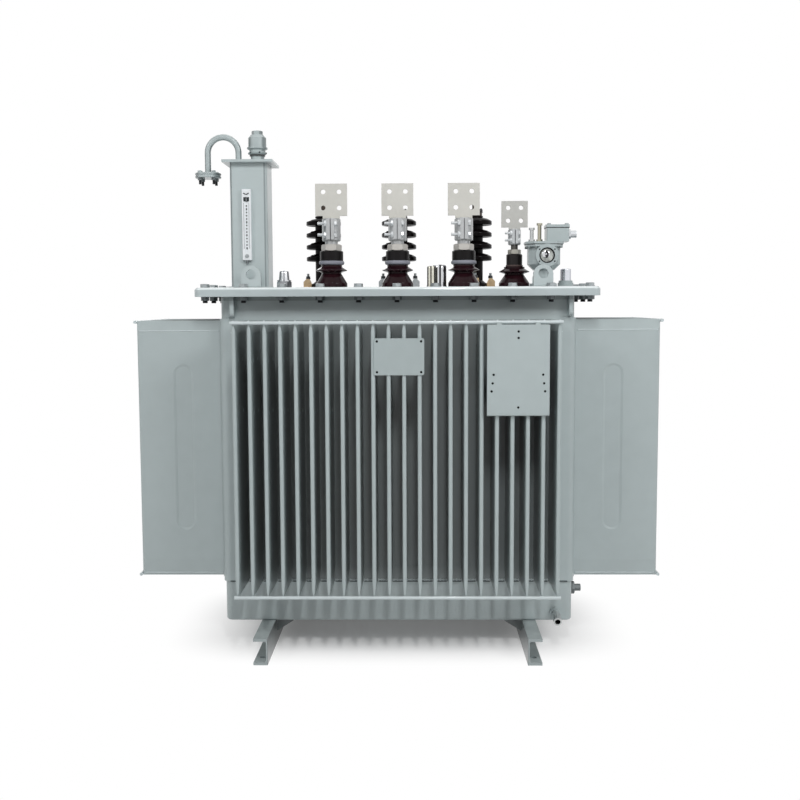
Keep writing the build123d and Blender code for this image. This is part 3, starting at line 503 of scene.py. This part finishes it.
# Each spot is a place, and then, where they differ from the usual, a turn and a size
def spread(name, part, spots, finish, spin=0.0, seed=3):
    mesh = bpy.data.meshes.new(name)
    mesh.from_pydata([spot[0] for spot in spots], [], [])
    turn = mesh.attributes.new("turn", "FLOAT_VECTOR", "POINT")
    size = mesh.attributes.new("size", "FLOAT_VECTOR", "POINT")
    for index, spot in enumerate(spots):
        turn.data[index].vector = spot[1] if len(spot) > 1 else (0, 0, 0)
        size.data[index].vector = spot[2] if len(spot) > 2 else (1, 1, 1)
    piece = bpy.data.objects.new(name + "Part", part)
    scene.collection.objects.link(piece)
    settle(name, mesh, setOnPoints, spotMarks,
           {"Piece": piece, "Spin": spin, "Seed": seed, "Finish": finishes[finish]})
    bpy.data.objects.remove(piece)


def weld(name, runs, radius, finish="paint", pitch=0.0042, unevenness=0.22, seed=5):
    points = []
    links = []
    for run in runs:
        start = len(points)
        points += run
        links += [(start + index, start + index + 1) for index in range(len(run) - 1)]
    mesh = bpy.data.meshes.new(name)
    mesh.from_pydata(points, links, [])
    settle(name, mesh, weldRuns, weldMarks, {"Pitch": pitch, "Radius": radius, "Spread": unevenness, "Seed": seed,
                                             "Finish": finishes[finish]})


# Places in a circle about a middle, each with its angle
def roundAbout(middle, radius, count, start=0.0):
    angles = [start + index * 2 * math.pi / count for index in range(count)]
    return [(middle.x + radius * math.cos(angle), middle.y + radius * math.sin(angle), angle) for angle in angles]


upright = (0, 0, 0)
toMinusZ = (math.pi, 0, 0)
toMinusY = (math.pi / 2, 0, 0)
toX = (0, math.pi / 2, 0)
toMinusX = (0, -math.pi / 2, 0)
signs = [(sx, sy) for sx in (-1, 1) for sy in (-1, 1)]  # left or right, front or back

# Lid bolts: heads on top, nuts and thread ends under the flange
lidBolts = dict(
    rowCount=11, rowPitch=0.1166, rowY=0.310, endX=0.586, endPitch=0.155, across=0.024, headHeight=0.0085,
    washer=0.0145, washerHeight=0.0025, nutHeight=0.0155, threadRadius=0.0082, threadLength=0.007,
    threadPitch=0.002, flangeRise=0.006)
flangeLow = lidLow.z + lidBolts["flangeRise"]
boltSpots = []
half = (lidBolts["rowCount"] - 1) / 2
for side in (-1, 1):
    for index in range(lidBolts["rowCount"]):
        boltSpots.append(((index - half) * lidBolts["rowPitch"], side * lidBolts["rowY"]))
    for index in (-1, 0, 1):
        boltSpots.append((side * lidBolts["endX"], index * lidBolts["endPitch"]))
head = hexHead(lidBolts["across"], lidBolts["headHeight"], lidBolts["washer"], lidBolts["washerHeight"])
spread("lidBoltHeads", head, [((x, y, lidTop),) for x, y in boltSpots], "zinc", 1.0, 11)
nut = hexHead(lidBolts["across"], lidBolts["nutHeight"], lidBolts["washer"], lidBolts["washerHeight"])
spread("lidNuts", nut, [((x, y, flangeLow), toMinusZ) for x, y in boltSpots], "nutSteel", 1.0, 12)
thread = threadEnd(lidBolts["threadRadius"], lidBolts["threadLength"], lidBolts["threadPitch"])
threadZ = flangeLow - lidBolts["nutHeight"] - lidBolts["washerHeight"]
spread("lidBoltThreads", thread, [((x, y, threadZ), toMinusZ) for x, y in boltSpots], "thread")
print("lid bolts,", len(boltSpots))

# Bolts across the split clamps of the low-voltage and neutral terminals
clampBolts = dict(
    across=0.017, headHeight=0.008, washer=0.0102, washerHeight=0.0015, threadRadius=0.0050, threadPitch=0.0022,
    reach=0.028, inset=0.018, forward=0.006,
    large=dict(foot=0.030, rise=0.071, earHalf=0.0125, scale=1.0),
    small=dict(foot=0.028, rise=0.050, earHalf=0.010, scale=0.78))
headSpots = []
rodSpots = []
for name in ("lv_terminal_a", "lv_terminal_b", "lv_terminal_c", "neutral_terminal"):
    low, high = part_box(name)
    clamp = clampBolts["small" if name == "neutral_terminal" else "large"]
    scale = clamp["scale"]
    size = (scale, scale, scale)
    inset = clampBolts["inset"] * scale
    foot = low.z + clamp["foot"]
    x = (low.x + high.x) / 2
    y = low.y + clampBolts["forward"] * scale
    for z in (foot + inset, foot + clamp["rise"] - inset):
        headSpots.append(((x - clamp["earHalf"], y, z), toMinusX, size))
        headSpots.append(((x + clamp["earHalf"], y, z), toX, size))
        rodSpots.append(((x - clamp["earHalf"] - clampBolts["headHeight"] * scale, y, z), toMinusX, size))
clampHead = hexHead(clampBolts["across"], clampBolts["headHeight"] - clampBolts["washerHeight"],
                    clampBolts["washer"], clampBolts["washerHeight"])
spread("clampBoltHeads", clampHead, headSpots, "boltZinc", 1.0, 21)
clampRod = threadEnd(clampBolts["threadRadius"], clampBolts["reach"] - clampBolts["headHeight"],
                     clampBolts["threadPitch"])
spread("clampBoltEnds", clampRod, rodSpots, "boltZinc")

# Nuts and studs on the high-voltage claws
clawBolts = dict(
    count=4, fromAxis=0.055, across=0.014, height=0.009, washer=0.0085, washerHeight=0.002, studRadius=0.0046,
    studLength=0.009, studPitch=0.0018)
clawSpots = []
for name in ("hv_clamp_a", "hv_clamp_b", "hv_clamp_c"):
    low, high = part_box(name)
    for x, y, angle in roundAbout((low + high) / 2, clawBolts["fromAxis"], clawBolts["count"]):
        clawSpots.append((x, y, high.z))
clawNut = hexHead(clawBolts["across"], clawBolts["height"] - clawBolts["washerHeight"], clawBolts["washer"],
                  clawBolts["washerHeight"])
spread("clawNuts", clawNut, [(spot,) for spot in clawSpots], "darkSteel", 1.0, 31)
clawStud = threadEnd(clawBolts["studRadius"], clawBolts["studLength"], clawBolts["studPitch"])
spread("clawStuds", clawStud, [((x, y, z + clawBolts["height"]),) for x, y, z in clawSpots], "zinc")

# Screws standing on the high-voltage caps
capScrews = dict(
    across=0.0105, height=0.010, stem=0.0046, length=0.005, taper=0.003, tip=0.6, fromAxis=0.0222, capHeight=0.011)
capSpots = []
for name in ("hv_terminal_a", "hv_terminal_b", "hv_terminal_c"):
    low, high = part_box(name)
    for side in (-1, 1):
        capSpots.append((((low.x + high.x) / 2 + side * capScrews["fromAxis"], (low.y + high.y) / 2,
                          low.z + capScrews["capHeight"]),))
stem = capScrews["stem"]
stemTop = capScrews["height"] + capScrews["length"]
capScrew = joinMeshes("capScrew", [
    hexHead(capScrews["across"], capScrews["height"]),
    turnedMesh("stem", [(stem, capScrews["height"]), (stem, stemTop - capScrews["taper"]),
                        (stem * capScrews["tip"], stemTop)], 12)])
spread("hvCapScrews", capScrew, capSpots, "thread", 1.0, 33)

# Drip lips under the high-voltage sheds
shedLips = dict(
    first=0.104, pitch=0.040, count=4,
    profile=[(0.0400, -0.0032), (0.0570, -0.0088), (0.0592, -0.0066), (0.0592, -0.0012), (0.0557, 0.0006),
             (0.0400, -0.0004), (0.0400, -0.0032)])
lip = turnedMesh("lip", shedLips["profile"], 48)
lipSpots = []
for name in ("hv_porcelain_a", "hv_porcelain_b", "hv_porcelain_c"):
    low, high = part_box(name)
    for index in range(shedLips["count"]):
        lipSpots.append((((low.x + high.x) / 2, (low.y + high.y) / 2,
                          lidTop + shedLips["first"] + index * shedLips["pitch"]),))
spread("hvShedLips", lip, lipSpots, "darkGlaze")
print("terminal bolts,", len(headSpots), "clamp heads and", len(clawSpots), "claw nuts")

# Bolts through the breather's flange pair
breather = dict(
    count=4, circle=0.030, across=0.013, head=0.006, nut=0.008, tail=0.012, threadRadius=0.0045, threadPitch=0.0018,
    flange=0.007)
pairLow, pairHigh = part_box("breather_cover")
pairTop = pairHigh.z + breather["flange"]
breatherSpots = roundAbout((pairLow + pairHigh) / 2, breather["circle"], breather["count"], math.pi / 4)
breatherHead = hexHead(breather["across"], breather["head"])
spread("breatherBoltHeads", breatherHead, [((x, y, pairTop),) for x, y, angle in breatherSpots], "paint",
       1.0, 41)
breatherNut = hexHead(breather["across"], breather["nut"])
spread("breatherNuts", breatherNut, [((x, y, pairLow.z), toMinusZ) for x, y, angle in breatherSpots], "nutSteel",
       1.0, 42)
breatherTail = threadEnd(breather["threadRadius"], breather["tail"], breather["threadPitch"])
tailZ = pairLow.z - breather["nut"]
spread("breatherBoltEnds", breatherTail, [((x, y, tailZ), toMinusZ) for x, y, angle in breatherSpots], "thread")

# Relay: flange nuts, gasket, boss screws, the terminal box's lid seam and screws, glass ring and float
relay = dict(
    boltInset=0.019, across=0.011, height=0.0045, halfX=0.056, halfY=0.052, edge=0.007, nutSpread=0.8, flange=0.008,
    corner=0.024, proud=0.0006, gap=0.0001, gasket=0.0018, lidSeam=0.0022, lidThick=0.008, lidOver=0.0015,
    lidInset=0.009, lidMiddle=0.0405, lidHalf=0.036, bossCircle=0.0295, bossStart=38, bossSkew=14, floatShift=0.003,
    bossScrew=[(0.0024, 0.0), (0.0024, 0.0012), (0.0016, 0.0019), (0.0009, 0.0012)],
    lidScrew=[(0.0062, 0.0), (0.0062, 0.003), (0.005, 0.0042), (0.0022, 0.0042), (0.0018, 0.0026)],
    glassRing=[(0.0200, 0.0), (0.0238, 0.0), (0.0238, 0.0022), (0.0228, 0.0034), (0.0208, 0.0030),
               (0.0200, 0.0018), (0.0200, 0.0)],
    floatDisc=[(0.0, 0.0), (0.0105, 0.0), (0.0115, 0.0006), (0.0100, 0.0014), (0.0045, 0.0017), (0.0, 0.0022)],
    floatStem=[(0.0026, 0.0014), (0.0026, 0.0026), (0.0018, 0.0030), (0.0, 0.0031)])
plateLow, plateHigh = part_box("relay_body")
relayX = relayMid.x
relayY = relayMid.y
boltX = relay["halfX"] - relay["boltInset"]
boltY = relay["halfY"] - relay["boltInset"]
corners = [(relayX + sx * (relay["halfX"] - relay["edge"]), relayY + sy * boltY) for sx, sy in signs]
corners += [(relayX + sx * boltX * relay["nutSpread"], relayY + sy * (relay["halfY"] - relay["edge"]))
            for sx, sy in signs]
relayNut = hexHead(relay["across"], relay["height"])
nutZ = plateHigh.z - relay["flange"]
spread("relayNuts", relayNut, [((x, y, nutZ), toMinusZ) for x, y in corners], "relaySteel", 1.0, 51)


def seamMesh(outline, lowZ, highZ):
    shape = bmesh.new()
    foot = [shape.verts.new((x, y, lowZ)) for x, y in outline]
    rim = [shape.verts.new((x, y, highZ)) for x, y in outline]
    shape.faces.new(foot[::-1])
    shape.faces.new(rim)
    for index in range(len(foot)):
        after = (index + 1) % len(foot)
        shape.faces.new((foot[index], foot[after], rim[after], rim[index]))
    return finishMesh("seam", shape)


gasketHalfX = relay["halfX"] + relay["proud"]
gasketHalfY = relay["halfY"] + relay["proud"]
gasketOutline = []
for sx, sy, order in ((1, 1, 1), (-1, 1, -1), (-1, -1, 1), (1, -1, -1)):
    ends = [(relayX + sx * gasketHalfX, relayY + sy * (gasketHalfY - relay["corner"])),
            (relayX + sx * (gasketHalfX - relay["corner"]), relayY + sy * gasketHalfY)]
    gasketOutline += ends[::order]
gasketPart = seamMesh(gasketOutline, coverLow - relay["gasket"], coverLow - relay["gap"])
spread("relayGasket", gasketPart, [((0, 0, 0),)], "gasket")
glassLow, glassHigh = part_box("relay_sight_glass")
glassMid = (glassLow + glassHigh) / 2
screws = []
for index in range(4):
    angle = math.radians(relay["bossStart"] + index * 90 + (relay["bossSkew"] if index % 2 else 0))
    screws.append(((glassMid.x + relay["bossCircle"] * math.cos(angle), plateLow.y,
                    glassMid.z + relay["bossCircle"] * math.sin(angle)), toMinusY))
spread("relayBossScrews", turnedMesh("screw", relay["bossScrew"], 14), screws, "darkSteel")
boxLow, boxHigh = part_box("relay_terminal_box")
lidMid = relayX + relay["lidMiddle"]
lidRight = lidMid + relay["lidHalf"]
lidLeft = lidMid - relay["lidHalf"]
lidScrews = [((x, y, boxHigh.z),) for x in (lidLeft + relay["lidInset"], lidRight - relay["lidInset"])
             for y in (boxLow.y + relay["lidInset"], boxHigh.y - relay["lidInset"])]
seamX = relay["lidHalf"] - relay["lidOver"] + relay["proud"]
seamLow = boxLow.y + relay["lidOver"] - relay["proud"]
seamHigh = boxHigh.y - relay["lidOver"] + relay["proud"]
seamOutline = [(lidMid + seamX, seamHigh), (lidMid - seamX, seamHigh), (lidMid - seamX, seamLow),
               (lidMid + seamX, seamLow)]
seamTop = boxHigh.z - relay["lidThick"]
seamPart = seamMesh(seamOutline, seamTop - relay["lidSeam"], seamTop - relay["gap"])
spread("terminalLidSeam", seamPart, [((0, 0, 0),)], "gasket")
spread("terminalLidScrews", turnedMesh("screw", relay["lidScrew"], 18), lidScrews, "zinc")
ringSpot = (glassMid.x, glassLow.y, glassMid.z)
spread("relayGlassRing", turnedMesh("ring", relay["glassRing"], 40), [(ringSpot, toMinusY)], "gasket")
floatPart = joinMeshes("float", [turnedMesh("disc", relay["floatDisc"], 28),
                                 turnedMesh("stem", relay["floatStem"], 16)])
floatSpot = (glassMid.x - relay["floatShift"], glassLow.y, glassMid.z + relay["floatShift"])
spread("relayFloat", floatPart, [(floatSpot, toMinusY)], "chrome")
print("relay hardware done")

# Relief valve: screws round the lower ring
relief = dict(
    count=6, radius=0.0288, rise=0.028, start=math.radians(-68),
    profile=[(0.0026, -0.001), (0.0026, 0.0006), (0.0018, 0.0012), (0.0010, 0.0004)])
valveLow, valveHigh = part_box("relief_valve")
screwZ = valveLow.z + relief["rise"]
reliefSpots = [((x, y, screwZ), (0, math.pi / 2, angle)) for x, y, angle in roundAbout(
    (valveLow + valveHigh) / 2, relief["radius"], relief["count"], relief["start"])]
spread("reliefScrews", turnedMesh("screw", relief["profile"], 12), reliefSpots, "darkSteel")

# Level gauge: scale dots, top marks, side lines, an end screw
gauge = dict(
    count=14, pitch=0.0099, dot=0.0021, longDot=1.9, shortDot=1.25, dotRise=0.0006, slot=0.003, lower=0.002,
    topMark=0.031, topX=0.0048, topSize=(0.0056, 0.0092, 0.0007), chevron=0.0145, chevronX=0.0040,
    chevronSize=(0.0066, 0.0017, 0.0030), tilt=0.5, lineX=0.0079, lineUp=0.002, lineWidth=0.0010, lineLength=0.070,
    lineRise=0.0006, screwUp=0.023,
    screw=[(0.0058, 0.0), (0.0062, 0.0008), (0.0055, 0.0022), (0.0030, 0.0028), (0.0026, 0.0016)])
gaugeLow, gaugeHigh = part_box("level_gauge")
gaugeMid = (gaugeLow + gaugeHigh) / 2
slotBack = gaugeLow.y + gauge["slot"]
dot = turnedMesh("dot", [(1.0, -0.2), (1.0, 0.5), (0.7, 0.8), (0.0, 0.9)], 8)
first = gaugeMid.z - gauge["lower"] - (gauge["count"] - 1) / 2 * gauge["pitch"]
dots = []
for index in range(gauge["count"]):
    tall = gauge["shortDot" if index % 4 else "longDot"]
    size = gauge["dot"]
    dots.append(((gaugeMid.x, slotBack, first + index * gauge["pitch"]), toMinusY,
                 (size, size * tall, gauge["dotRise"])))
spread("gaugeDots", dot, dots, "ink")
mark = turnedMesh("mark", [(1.0, -0.2), (1.0, 0.5), (0.9, 0.9), (0.0, 1.0)], 4, math.pi / 4)
markSpots = []
lineSpots = []
lineSize = (gauge["lineWidth"], gauge["lineLength"] * math.sqrt(2), gauge["lineRise"])
for side in (-1, 1):
    markSpots.append(((gaugeMid.x + side * gauge["topX"], gaugeLow.y, gaugeHigh.z - gauge["topMark"]),
                      toMinusY, gauge["topSize"]))
    markSpots.append(((gaugeMid.x + side * gauge["chevronX"], gaugeLow.y, gaugeHigh.z - gauge["chevron"]),
                      (math.pi / 2, -side * gauge["tilt"], 0), gauge["chevronSize"]))
    lineSpots.append(((gaugeMid.x + side * gauge["lineX"], gaugeLow.y, gaugeMid.z + gauge["lineUp"]),
                      toMinusY, lineSize))
spread("gaugeTopMark", mark, markSpots, "ink")
spread("gaugeLines", mark, lineSpots, "softInk")
screwSpot = (gaugeMid.x, gaugeLow.y, gaugeLow.z + gauge["screwUp"])
spread("gaugeScrews", turnedMesh("screw", gauge["screw"], 20), [(screwSpot, toMinusY)], "zinc")
print("gauge and valve marks done")

# Welds: corner strips, fin feet with a painted shade strip below, rod ends, column foot, lugs
fins = dict(count=22, pitch=0.045, halfWidth=0.006, root=-0.275)
welds = dict(
    seamRadius=0.0042, footRadius=0.0036, finRadius=0.0034, seamShadeDepth=0.0008, seamShadeHeight=0.0020, stripIn=0.004,
    stripEnd=0.022, stripRise=0.0052, stripShadeRise=0.0004, gapHalf=0.016, gapOut=0.003, gapRise=0.0062, gapShadeRise=0.0014,
    tickDrop=0.0012, tickRise=0.0050, tickOut=0.0005, tickSize=(0.0034, 0.0040, 0.0032), lowerTick=0.8,
    columnX=0.0575, columnY=0.062, footRise=0.001, lugIn=0.002)
bodyLow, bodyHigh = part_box("tank_body")
finLow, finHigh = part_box("front_fin_wall")
runs = []
seamShadeSpots = []
for side in (-1, 1):
    for face in (-1, 1):
        x0, x1 = side * (finHigh.x + welds["stripIn"]), side * (bodyHigh.x - welds["stripEnd"])
        y = face * (bodyHigh.y - welds["stripIn"])
        for z in (bodyHigh.z, bodyLow.z + welds["stripRise"]):
            runs.append([(x0, y, z), (x1, y, z)])
        seamShadeSpots.append((((x0 + x1) / 2, face * bodyHigh.y, bodyLow.z + welds["stripShadeRise"]), upright,
                          (abs(x1 - x0) / 2, welds["seamShadeDepth"], welds["seamShadeHeight"])))
weld("cornerWelds", runs, welds["seamRadius"])
gapRuns = []
gapZ = bodyLow.z + welds["gapRise"]
for index in range(fins["count"] - 1):
    x = (index - (fins["count"] - 2) / 2) * fins["pitch"]
    for face in (-1, 1):
        y = face * (bodyHigh.y + welds["gapOut"])
        gapRuns.append([(x - welds["gapHalf"], y, gapZ), (x + welds["gapHalf"], y, gapZ)])
        seamShadeSpots.append(((x, y, bodyLow.z + welds["gapShadeRise"]), upright,
                          (welds["gapHalf"], welds["seamShadeDepth"], welds["seamShadeHeight"])))
# Fin foot welds in the paler paint, a painted highlight
weld("finFootWelds", gapRuns, welds["finRadius"], "rodPaint", seed=9)
bar = turnedMesh("bar", [(math.sqrt(2), -1.0), (math.sqrt(2), 1.0)], 4, math.pi / 4)
# Painted shade: thin dark strips along the foot of the fin walls and corner strips
spread("footSeams", bar, seamShadeSpots, "seamShade")
rodLow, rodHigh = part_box("front_fin_rods")
tickSpots = []
tickX, tickY, tickZ = welds["tickSize"]
for index in range(fins["count"]):
    x = (index - (fins["count"] - 1) / 2) * fins["pitch"]
    for face in (-1, 1):
        y = face * (-rodHigh.y - welds["tickOut"])
        for z, rise in ((rodHigh.z - welds["tickDrop"], 1.0), (rodLow.z + welds["tickRise"], welds["lowerTick"])):
            tickSpots.append(((x, y, z), upright, (tickX, tickY, tickZ * rise)))
tick = turnedMesh("tick", [(0.0, -1.0), (0.75, -0.66), (1.0, 0.0), (0.75, 0.66), (0.0, 1.0)], 8)
# Rod welds in the paler paint, a painted highlight
spread("rodWelds", tick, tickSpots, "rodPaint", 3.0, 61)
columnLow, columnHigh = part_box("conservator_column")
columnMid = (columnLow + columnHigh) / 2
foot = [(columnMid.x + sx * welds["columnX"], columnMid.y + sy * welds["columnY"], columnLow.z + welds["footRise"])
        for sx, sy in ((-1, -1), (1, -1), (1, 1), (-1, 1), (-1, -1))]
lugRuns = []
for name in nodes:
    if name.startswith("lifting_lug"):
        low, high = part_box(name)
        z = low.z + welds["footRise"]
        for y in (low.y, high.y):
            lugRuns.append([(low.x + welds["lugIn"], y, z), (high.x - welds["lugIn"], y, z)])
weld("footWelds", [foot] + lugRuns, welds["footRadius"], seed=7)
print("welds done")

# Creases where the outermost fins start to narrow
creases = dict(
    radius=0.0018, topDrop=0.032, footRise=0.017, footIn=0.0030, frontX=0.4785, frontStart=0.281, frontLength=0.186,
    sideY=0.231, sideStart=0.558, sideLength=0.252)
crease = turnedMesh("crease", [(0.0, 0.0), (1.0, 0.01), (1.0, 0.99), (0.0, 1.0)], 10)
creaseSpots = []
thick = creases["radius"]
for sx, sy in signs:
    for z, inset in ((finHigh.z - creases["topDrop"], 0.0), (finLow.z + creases["footRise"], creases["footIn"])):
        creaseSpots.append(((sx * (creases["frontX"] - inset), sy * creases["frontStart"], z),
                            (-sy * math.pi / 2, 0, 0), (thick, thick, creases["frontLength"])))
        creaseSpots.append(((sx * creases["sideStart"], sy * (creases["sideY"] - inset), z),
                            (0, sx * math.pi / 2, 0), (thick, thick, creases["sideLength"])))
# Creases in the paler paint, a painted highlight along them
spread("finCreases", crease, creaseSpots, "rodPaint")

# Spot-weld dimples on the fins' sides
dimples = dict(rows=(0.14, 0.33), columns=(0.35, 0.75), radius=0.006, rise=0.0012)
dimple = turnedMesh("dimple", [(1.0, 0.0), (0.82, 0.5), (0.5, 0.85), (0.0, 1.0)], 10)
dimpleSize = (dimples["radius"], dimples["radius"], dimples["rise"])
dimpleSpots = []
for index in range(fins["count"]):
    x = (index - (fins["count"] - 1) / 2) * fins["pitch"]
    for row in dimples["rows"]:
        z = finHigh.z - row * (finHigh.z - finLow.z)
        for column in dimples["columns"]:
            y = fins["root"] + column * (finLow.y - fins["root"])
            for side, turn in ((-1, toMinusX), (1, toX)):
                outer = index == 0 and side < 0 or index == fins["count"] - 1 and side > 0
                if not outer:
                    dimpleSpots.append(((x + side * fins["halfWidth"], y, z), turn, dimpleSize))
spread("finDimples", dimple, dimpleSpots, "paint")
print("fin dimples,", len(dimpleSpots))

# Dark gasket rings under the low-voltage and neutral bushings
footRings = dict(
    skirt=0.098,
    profile=[(0.0488, 0.0), (0.0512, 0.0), (0.0512, 0.002), (0.0500, 0.003), (0.0488, 0.003), (0.0488, 0.0)])
ringSpots = []
for name in ("lv_porcelain_a", "lv_porcelain_b", "lv_porcelain_c", "neutral_porcelain"):
    low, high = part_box(name)
    middle = (low + high) / 2
    share = (high.x - low.x) / footRings["skirt"]
    ringSpots.append(((middle.x, middle.y, low.z), upright, (share, share, 1.0)))
spread("bushingFootRings", turnedMesh("ring", footRings["profile"], 48), ringSpots, "gasket")

# Painted shade: dark rivet-like discs in the plate holes, and dark discs in the foot holes
shades = dict(
    radius=0.0036, depth=0.0008, smallInset=0.009, width=0.180, height=0.264, middleRows=(0.425, 0.355, -0.405),
    sideRows=((0.396, -0.046), (0.412, -0.140), (0.428, -0.228)), footX=0.410, footZ=0.0006, footRadius=0.0086,
    footDepth=0.001)
bigLow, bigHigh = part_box("large_plate")
bigX = (bigLow.x + bigHigh.x) / 2
bigZ = bigLow.z + shades["height"] / 2
shadeSpots = [(bigX, bigLow.y, bigZ + row * shades["height"]) for row in shades["middleRows"]]
for across, row in shades["sideRows"]:
    for side in (-1, 1):
        shadeSpots.append((bigX + side * across * shades["width"], bigLow.y, bigZ + row * shades["height"]))
smallLow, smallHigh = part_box("small_plate")
for x in (smallLow.x + shades["smallInset"], smallHigh.x - shades["smallInset"]):
    for z in (smallLow.z + shades["smallInset"], smallHigh.z - shades["smallInset"]):
        shadeSpots.append((x, smallLow.y, z))
shade = turnedMesh("holeShadeDisc", [(1.0, -0.3), (1.0, 0.2), (0.8, 0.7), (0.45, 0.35), (0.0, 0.3)], 12)
shadeSize = (shades["radius"], shades["radius"], shades["depth"])
spread("plateRivets", shade, [(spot, toMinusY, shadeSize) for spot in shadeSpots], "gasket")
holeSize = (shades["footRadius"], shades["footRadius"], shades["footDepth"])
holeSpots = [((sx * shades["footX"], sy * shades["footX"], shades["footZ"]), upright, holeSize) for sx, sy in signs]
spread("footHoleShades", shade, holeSpots, "darkSteel")

# Painted shade: a dark sleeve and floor inside the drain spout's bore
spout = dict(
    neckEnd=0.038, bossRadius=0.017, slope=math.radians(14), floor=0.0142, radius=0.0083, wall=0.0004,
    bottom=0.0008, depth=0.0205)
spoutLow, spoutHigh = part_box("drain_valve")
spoutTurn = math.pi / 2 + spout["slope"]
spoutSpot = ((spoutLow.x + spoutHigh.x) / 2,
             spoutHigh.y - spout["neckEnd"] - spout["floor"] * math.sin(spoutTurn),
             spoutHigh.z - spout["bossRadius"] + spout["floor"] * math.cos(spoutTurn))
bore = spout["radius"] - spout["wall"]
boreShade = turnedMesh("boreShade", [(0.0, 0.0), (spout["radius"], 0.0), (spout["radius"], spout["depth"]),
                               (bore, spout["depth"]), (bore, spout["bottom"]), (0.0, spout["bottom"])], 24)
spread("spoutLining", boreShade, [(spoutSpot, (spoutTurn, 0, 0))], "gasket")
print("plate rivets,", len(shadeSpots))

# Stage: pale floor that fades into white, soft lamps, camera
stage = dict(
    floorHalf=9, floorTone=0.9, floorGlow=0.13, fadeFrom=0.2, fadeTo=0.48, fadeAcross=0.615, worldLight=0.2)
lamps = {
    "rightLamp": dict(spot=(2.9, -3.1, 3.1), size=(1.4, 1.4), power=63.0),
    "leftLamp": dict(spot=(-2.9, -3.1, 3.1), size=(1.4, 1.4), power=43.0),
    "frontLamp": dict(spot=(0.25, -3.3, 3.5), size=(0.2, 0.9), power=48.0),
    "backLamp": dict(spot=(-0.8, 4.2, 2.8), size=(2.0, 1.6), power=26.0, targetZ=0.7),
    "topLamp": dict(spot=(0, 0.4, 4.4), size=(3.4, 2.4), power=12.0),
}
view = dict(
    lensPixels=1064.3, imagePixels=800, sensor=36.0, clip=(0.05, 60.0), place=(0.0031, -3.5495, 1.0711),
    pitch=0.0893, yaw=0.0154, roll=-0.0040)
white = (1.0, 1.0, 1.0, 1.0)


# 1 on rays that show the background: from the camera, off gloss, through glass
def seenRay(wire):
    path = [wire.make("ShaderNodeLightPath", {}, {}, label)
            for label in ("Is Camera Ray", "Is Glossy Ray", "Is Transmission Ray")]
    return wire.maths("MINIMUM", path[0] + path[1] + path[2], 1.0)


floorMesh = bpy.data.meshes.new("floor")
end = stage["floorHalf"]
floorMesh.from_pydata([(-end, -end, 0), (end, -end, 0), (end, end, 0), (-end, end, 0)], [], [(0, 1, 2, 3)])
floor = bpy.data.objects.new("floor", floorMesh)
scene.collection.objects.link(floor)
floor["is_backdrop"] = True
floorFinish = bpy.data.materials.new("floor")
floorFinish.use_nodes = True
tree = floorFinish.node_tree
tree.nodes.clear()
wire = Wire(tree)
place = wire.make("ShaderNodeTexCoord", {}, {}, "Object")
# Distance from the middle, measured so that the shadow keeps a soft oblong shape
across = wire.make("ShaderNodeSeparateXYZ", {}, {0: place}, "X") * stage["fadeAcross"]
along = wire.make("ShaderNodeSeparateXYZ", {}, {0: place}, "Y")
fromMiddle = wire.maths("POWER", across * across * across * across + along * along * along * along, 0.25)
matte = wire.make("ShaderNodeBsdfDiffuse", {}, {"Color": (stage["floorTone"],) * 3 + (1.0,)})
glow = wire.make("ShaderNodeEmission", {}, {"Color": white, "Strength": 1.0})
fade = stage["floorGlow"] + fromMiddle.ease(stage["fadeFrom"], stage["fadeTo"]) * (1 - stage["floorGlow"])
mixed = wire.make("ShaderNodeMixShader", {}, {0: fade * seenRay(wire), 1: matte, 2: glow})
wire.join(mixed, tree.nodes.new("ShaderNodeOutputMaterial").inputs[0])
floorMesh.materials.append(floorFinish)

world = bpy.data.worlds.new("studio")
scene.world = world
world.use_nodes = True
tree = world.node_tree
tree.nodes.clear()
wire = Wire(tree)
strength = stage["worldLight"] + seenRay(wire) * (1.0 - stage["worldLight"])
sky = wire.make("ShaderNodeBackground", {}, {"Color": white, "Strength": strength})
wire.join(sky, tree.nodes.new("ShaderNodeOutputWorld").inputs[0])


def lamp(name, spot, size, power, targetZ=0.8):
    data = bpy.data.lights.new(name, "AREA")
    data.shape = "RECTANGLE"
    data.size, data.size_y = size
    data.energy = power
    holder = bpy.data.objects.new(name, data)
    holder.location = spot
    holder.rotation_euler = (Vector((0, 0, targetZ)) - Vector(spot)).to_track_quat("-Z", "Y").to_euler()
    scene.collection.objects.link(holder)


for name, values in lamps.items():
    lamp(name, **values)

eye = bpy.data.cameras.new("camera")
eye.sensor_width = view["sensor"]
eye.lens = view["lensPixels"] / view["imagePixels"] * eye.sensor_width
eye.clip_start, eye.clip_end = view["clip"]
camera = bpy.data.objects.new("camera", eye)
scene.collection.objects.link(camera)
camera.matrix_world = (Matrix.Rotation(view["yaw"], 4, "Z") @ Matrix.Translation(view["place"])
                       @ Matrix.Rotation(math.pi / 2 - view["pitch"], 4, "X")
                       @ Matrix.Rotation(view["roll"], 4, "Z"))
scene.camera = camera
scene.view_settings.view_transform = "Standard"
print("stage and camera set")

low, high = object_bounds()
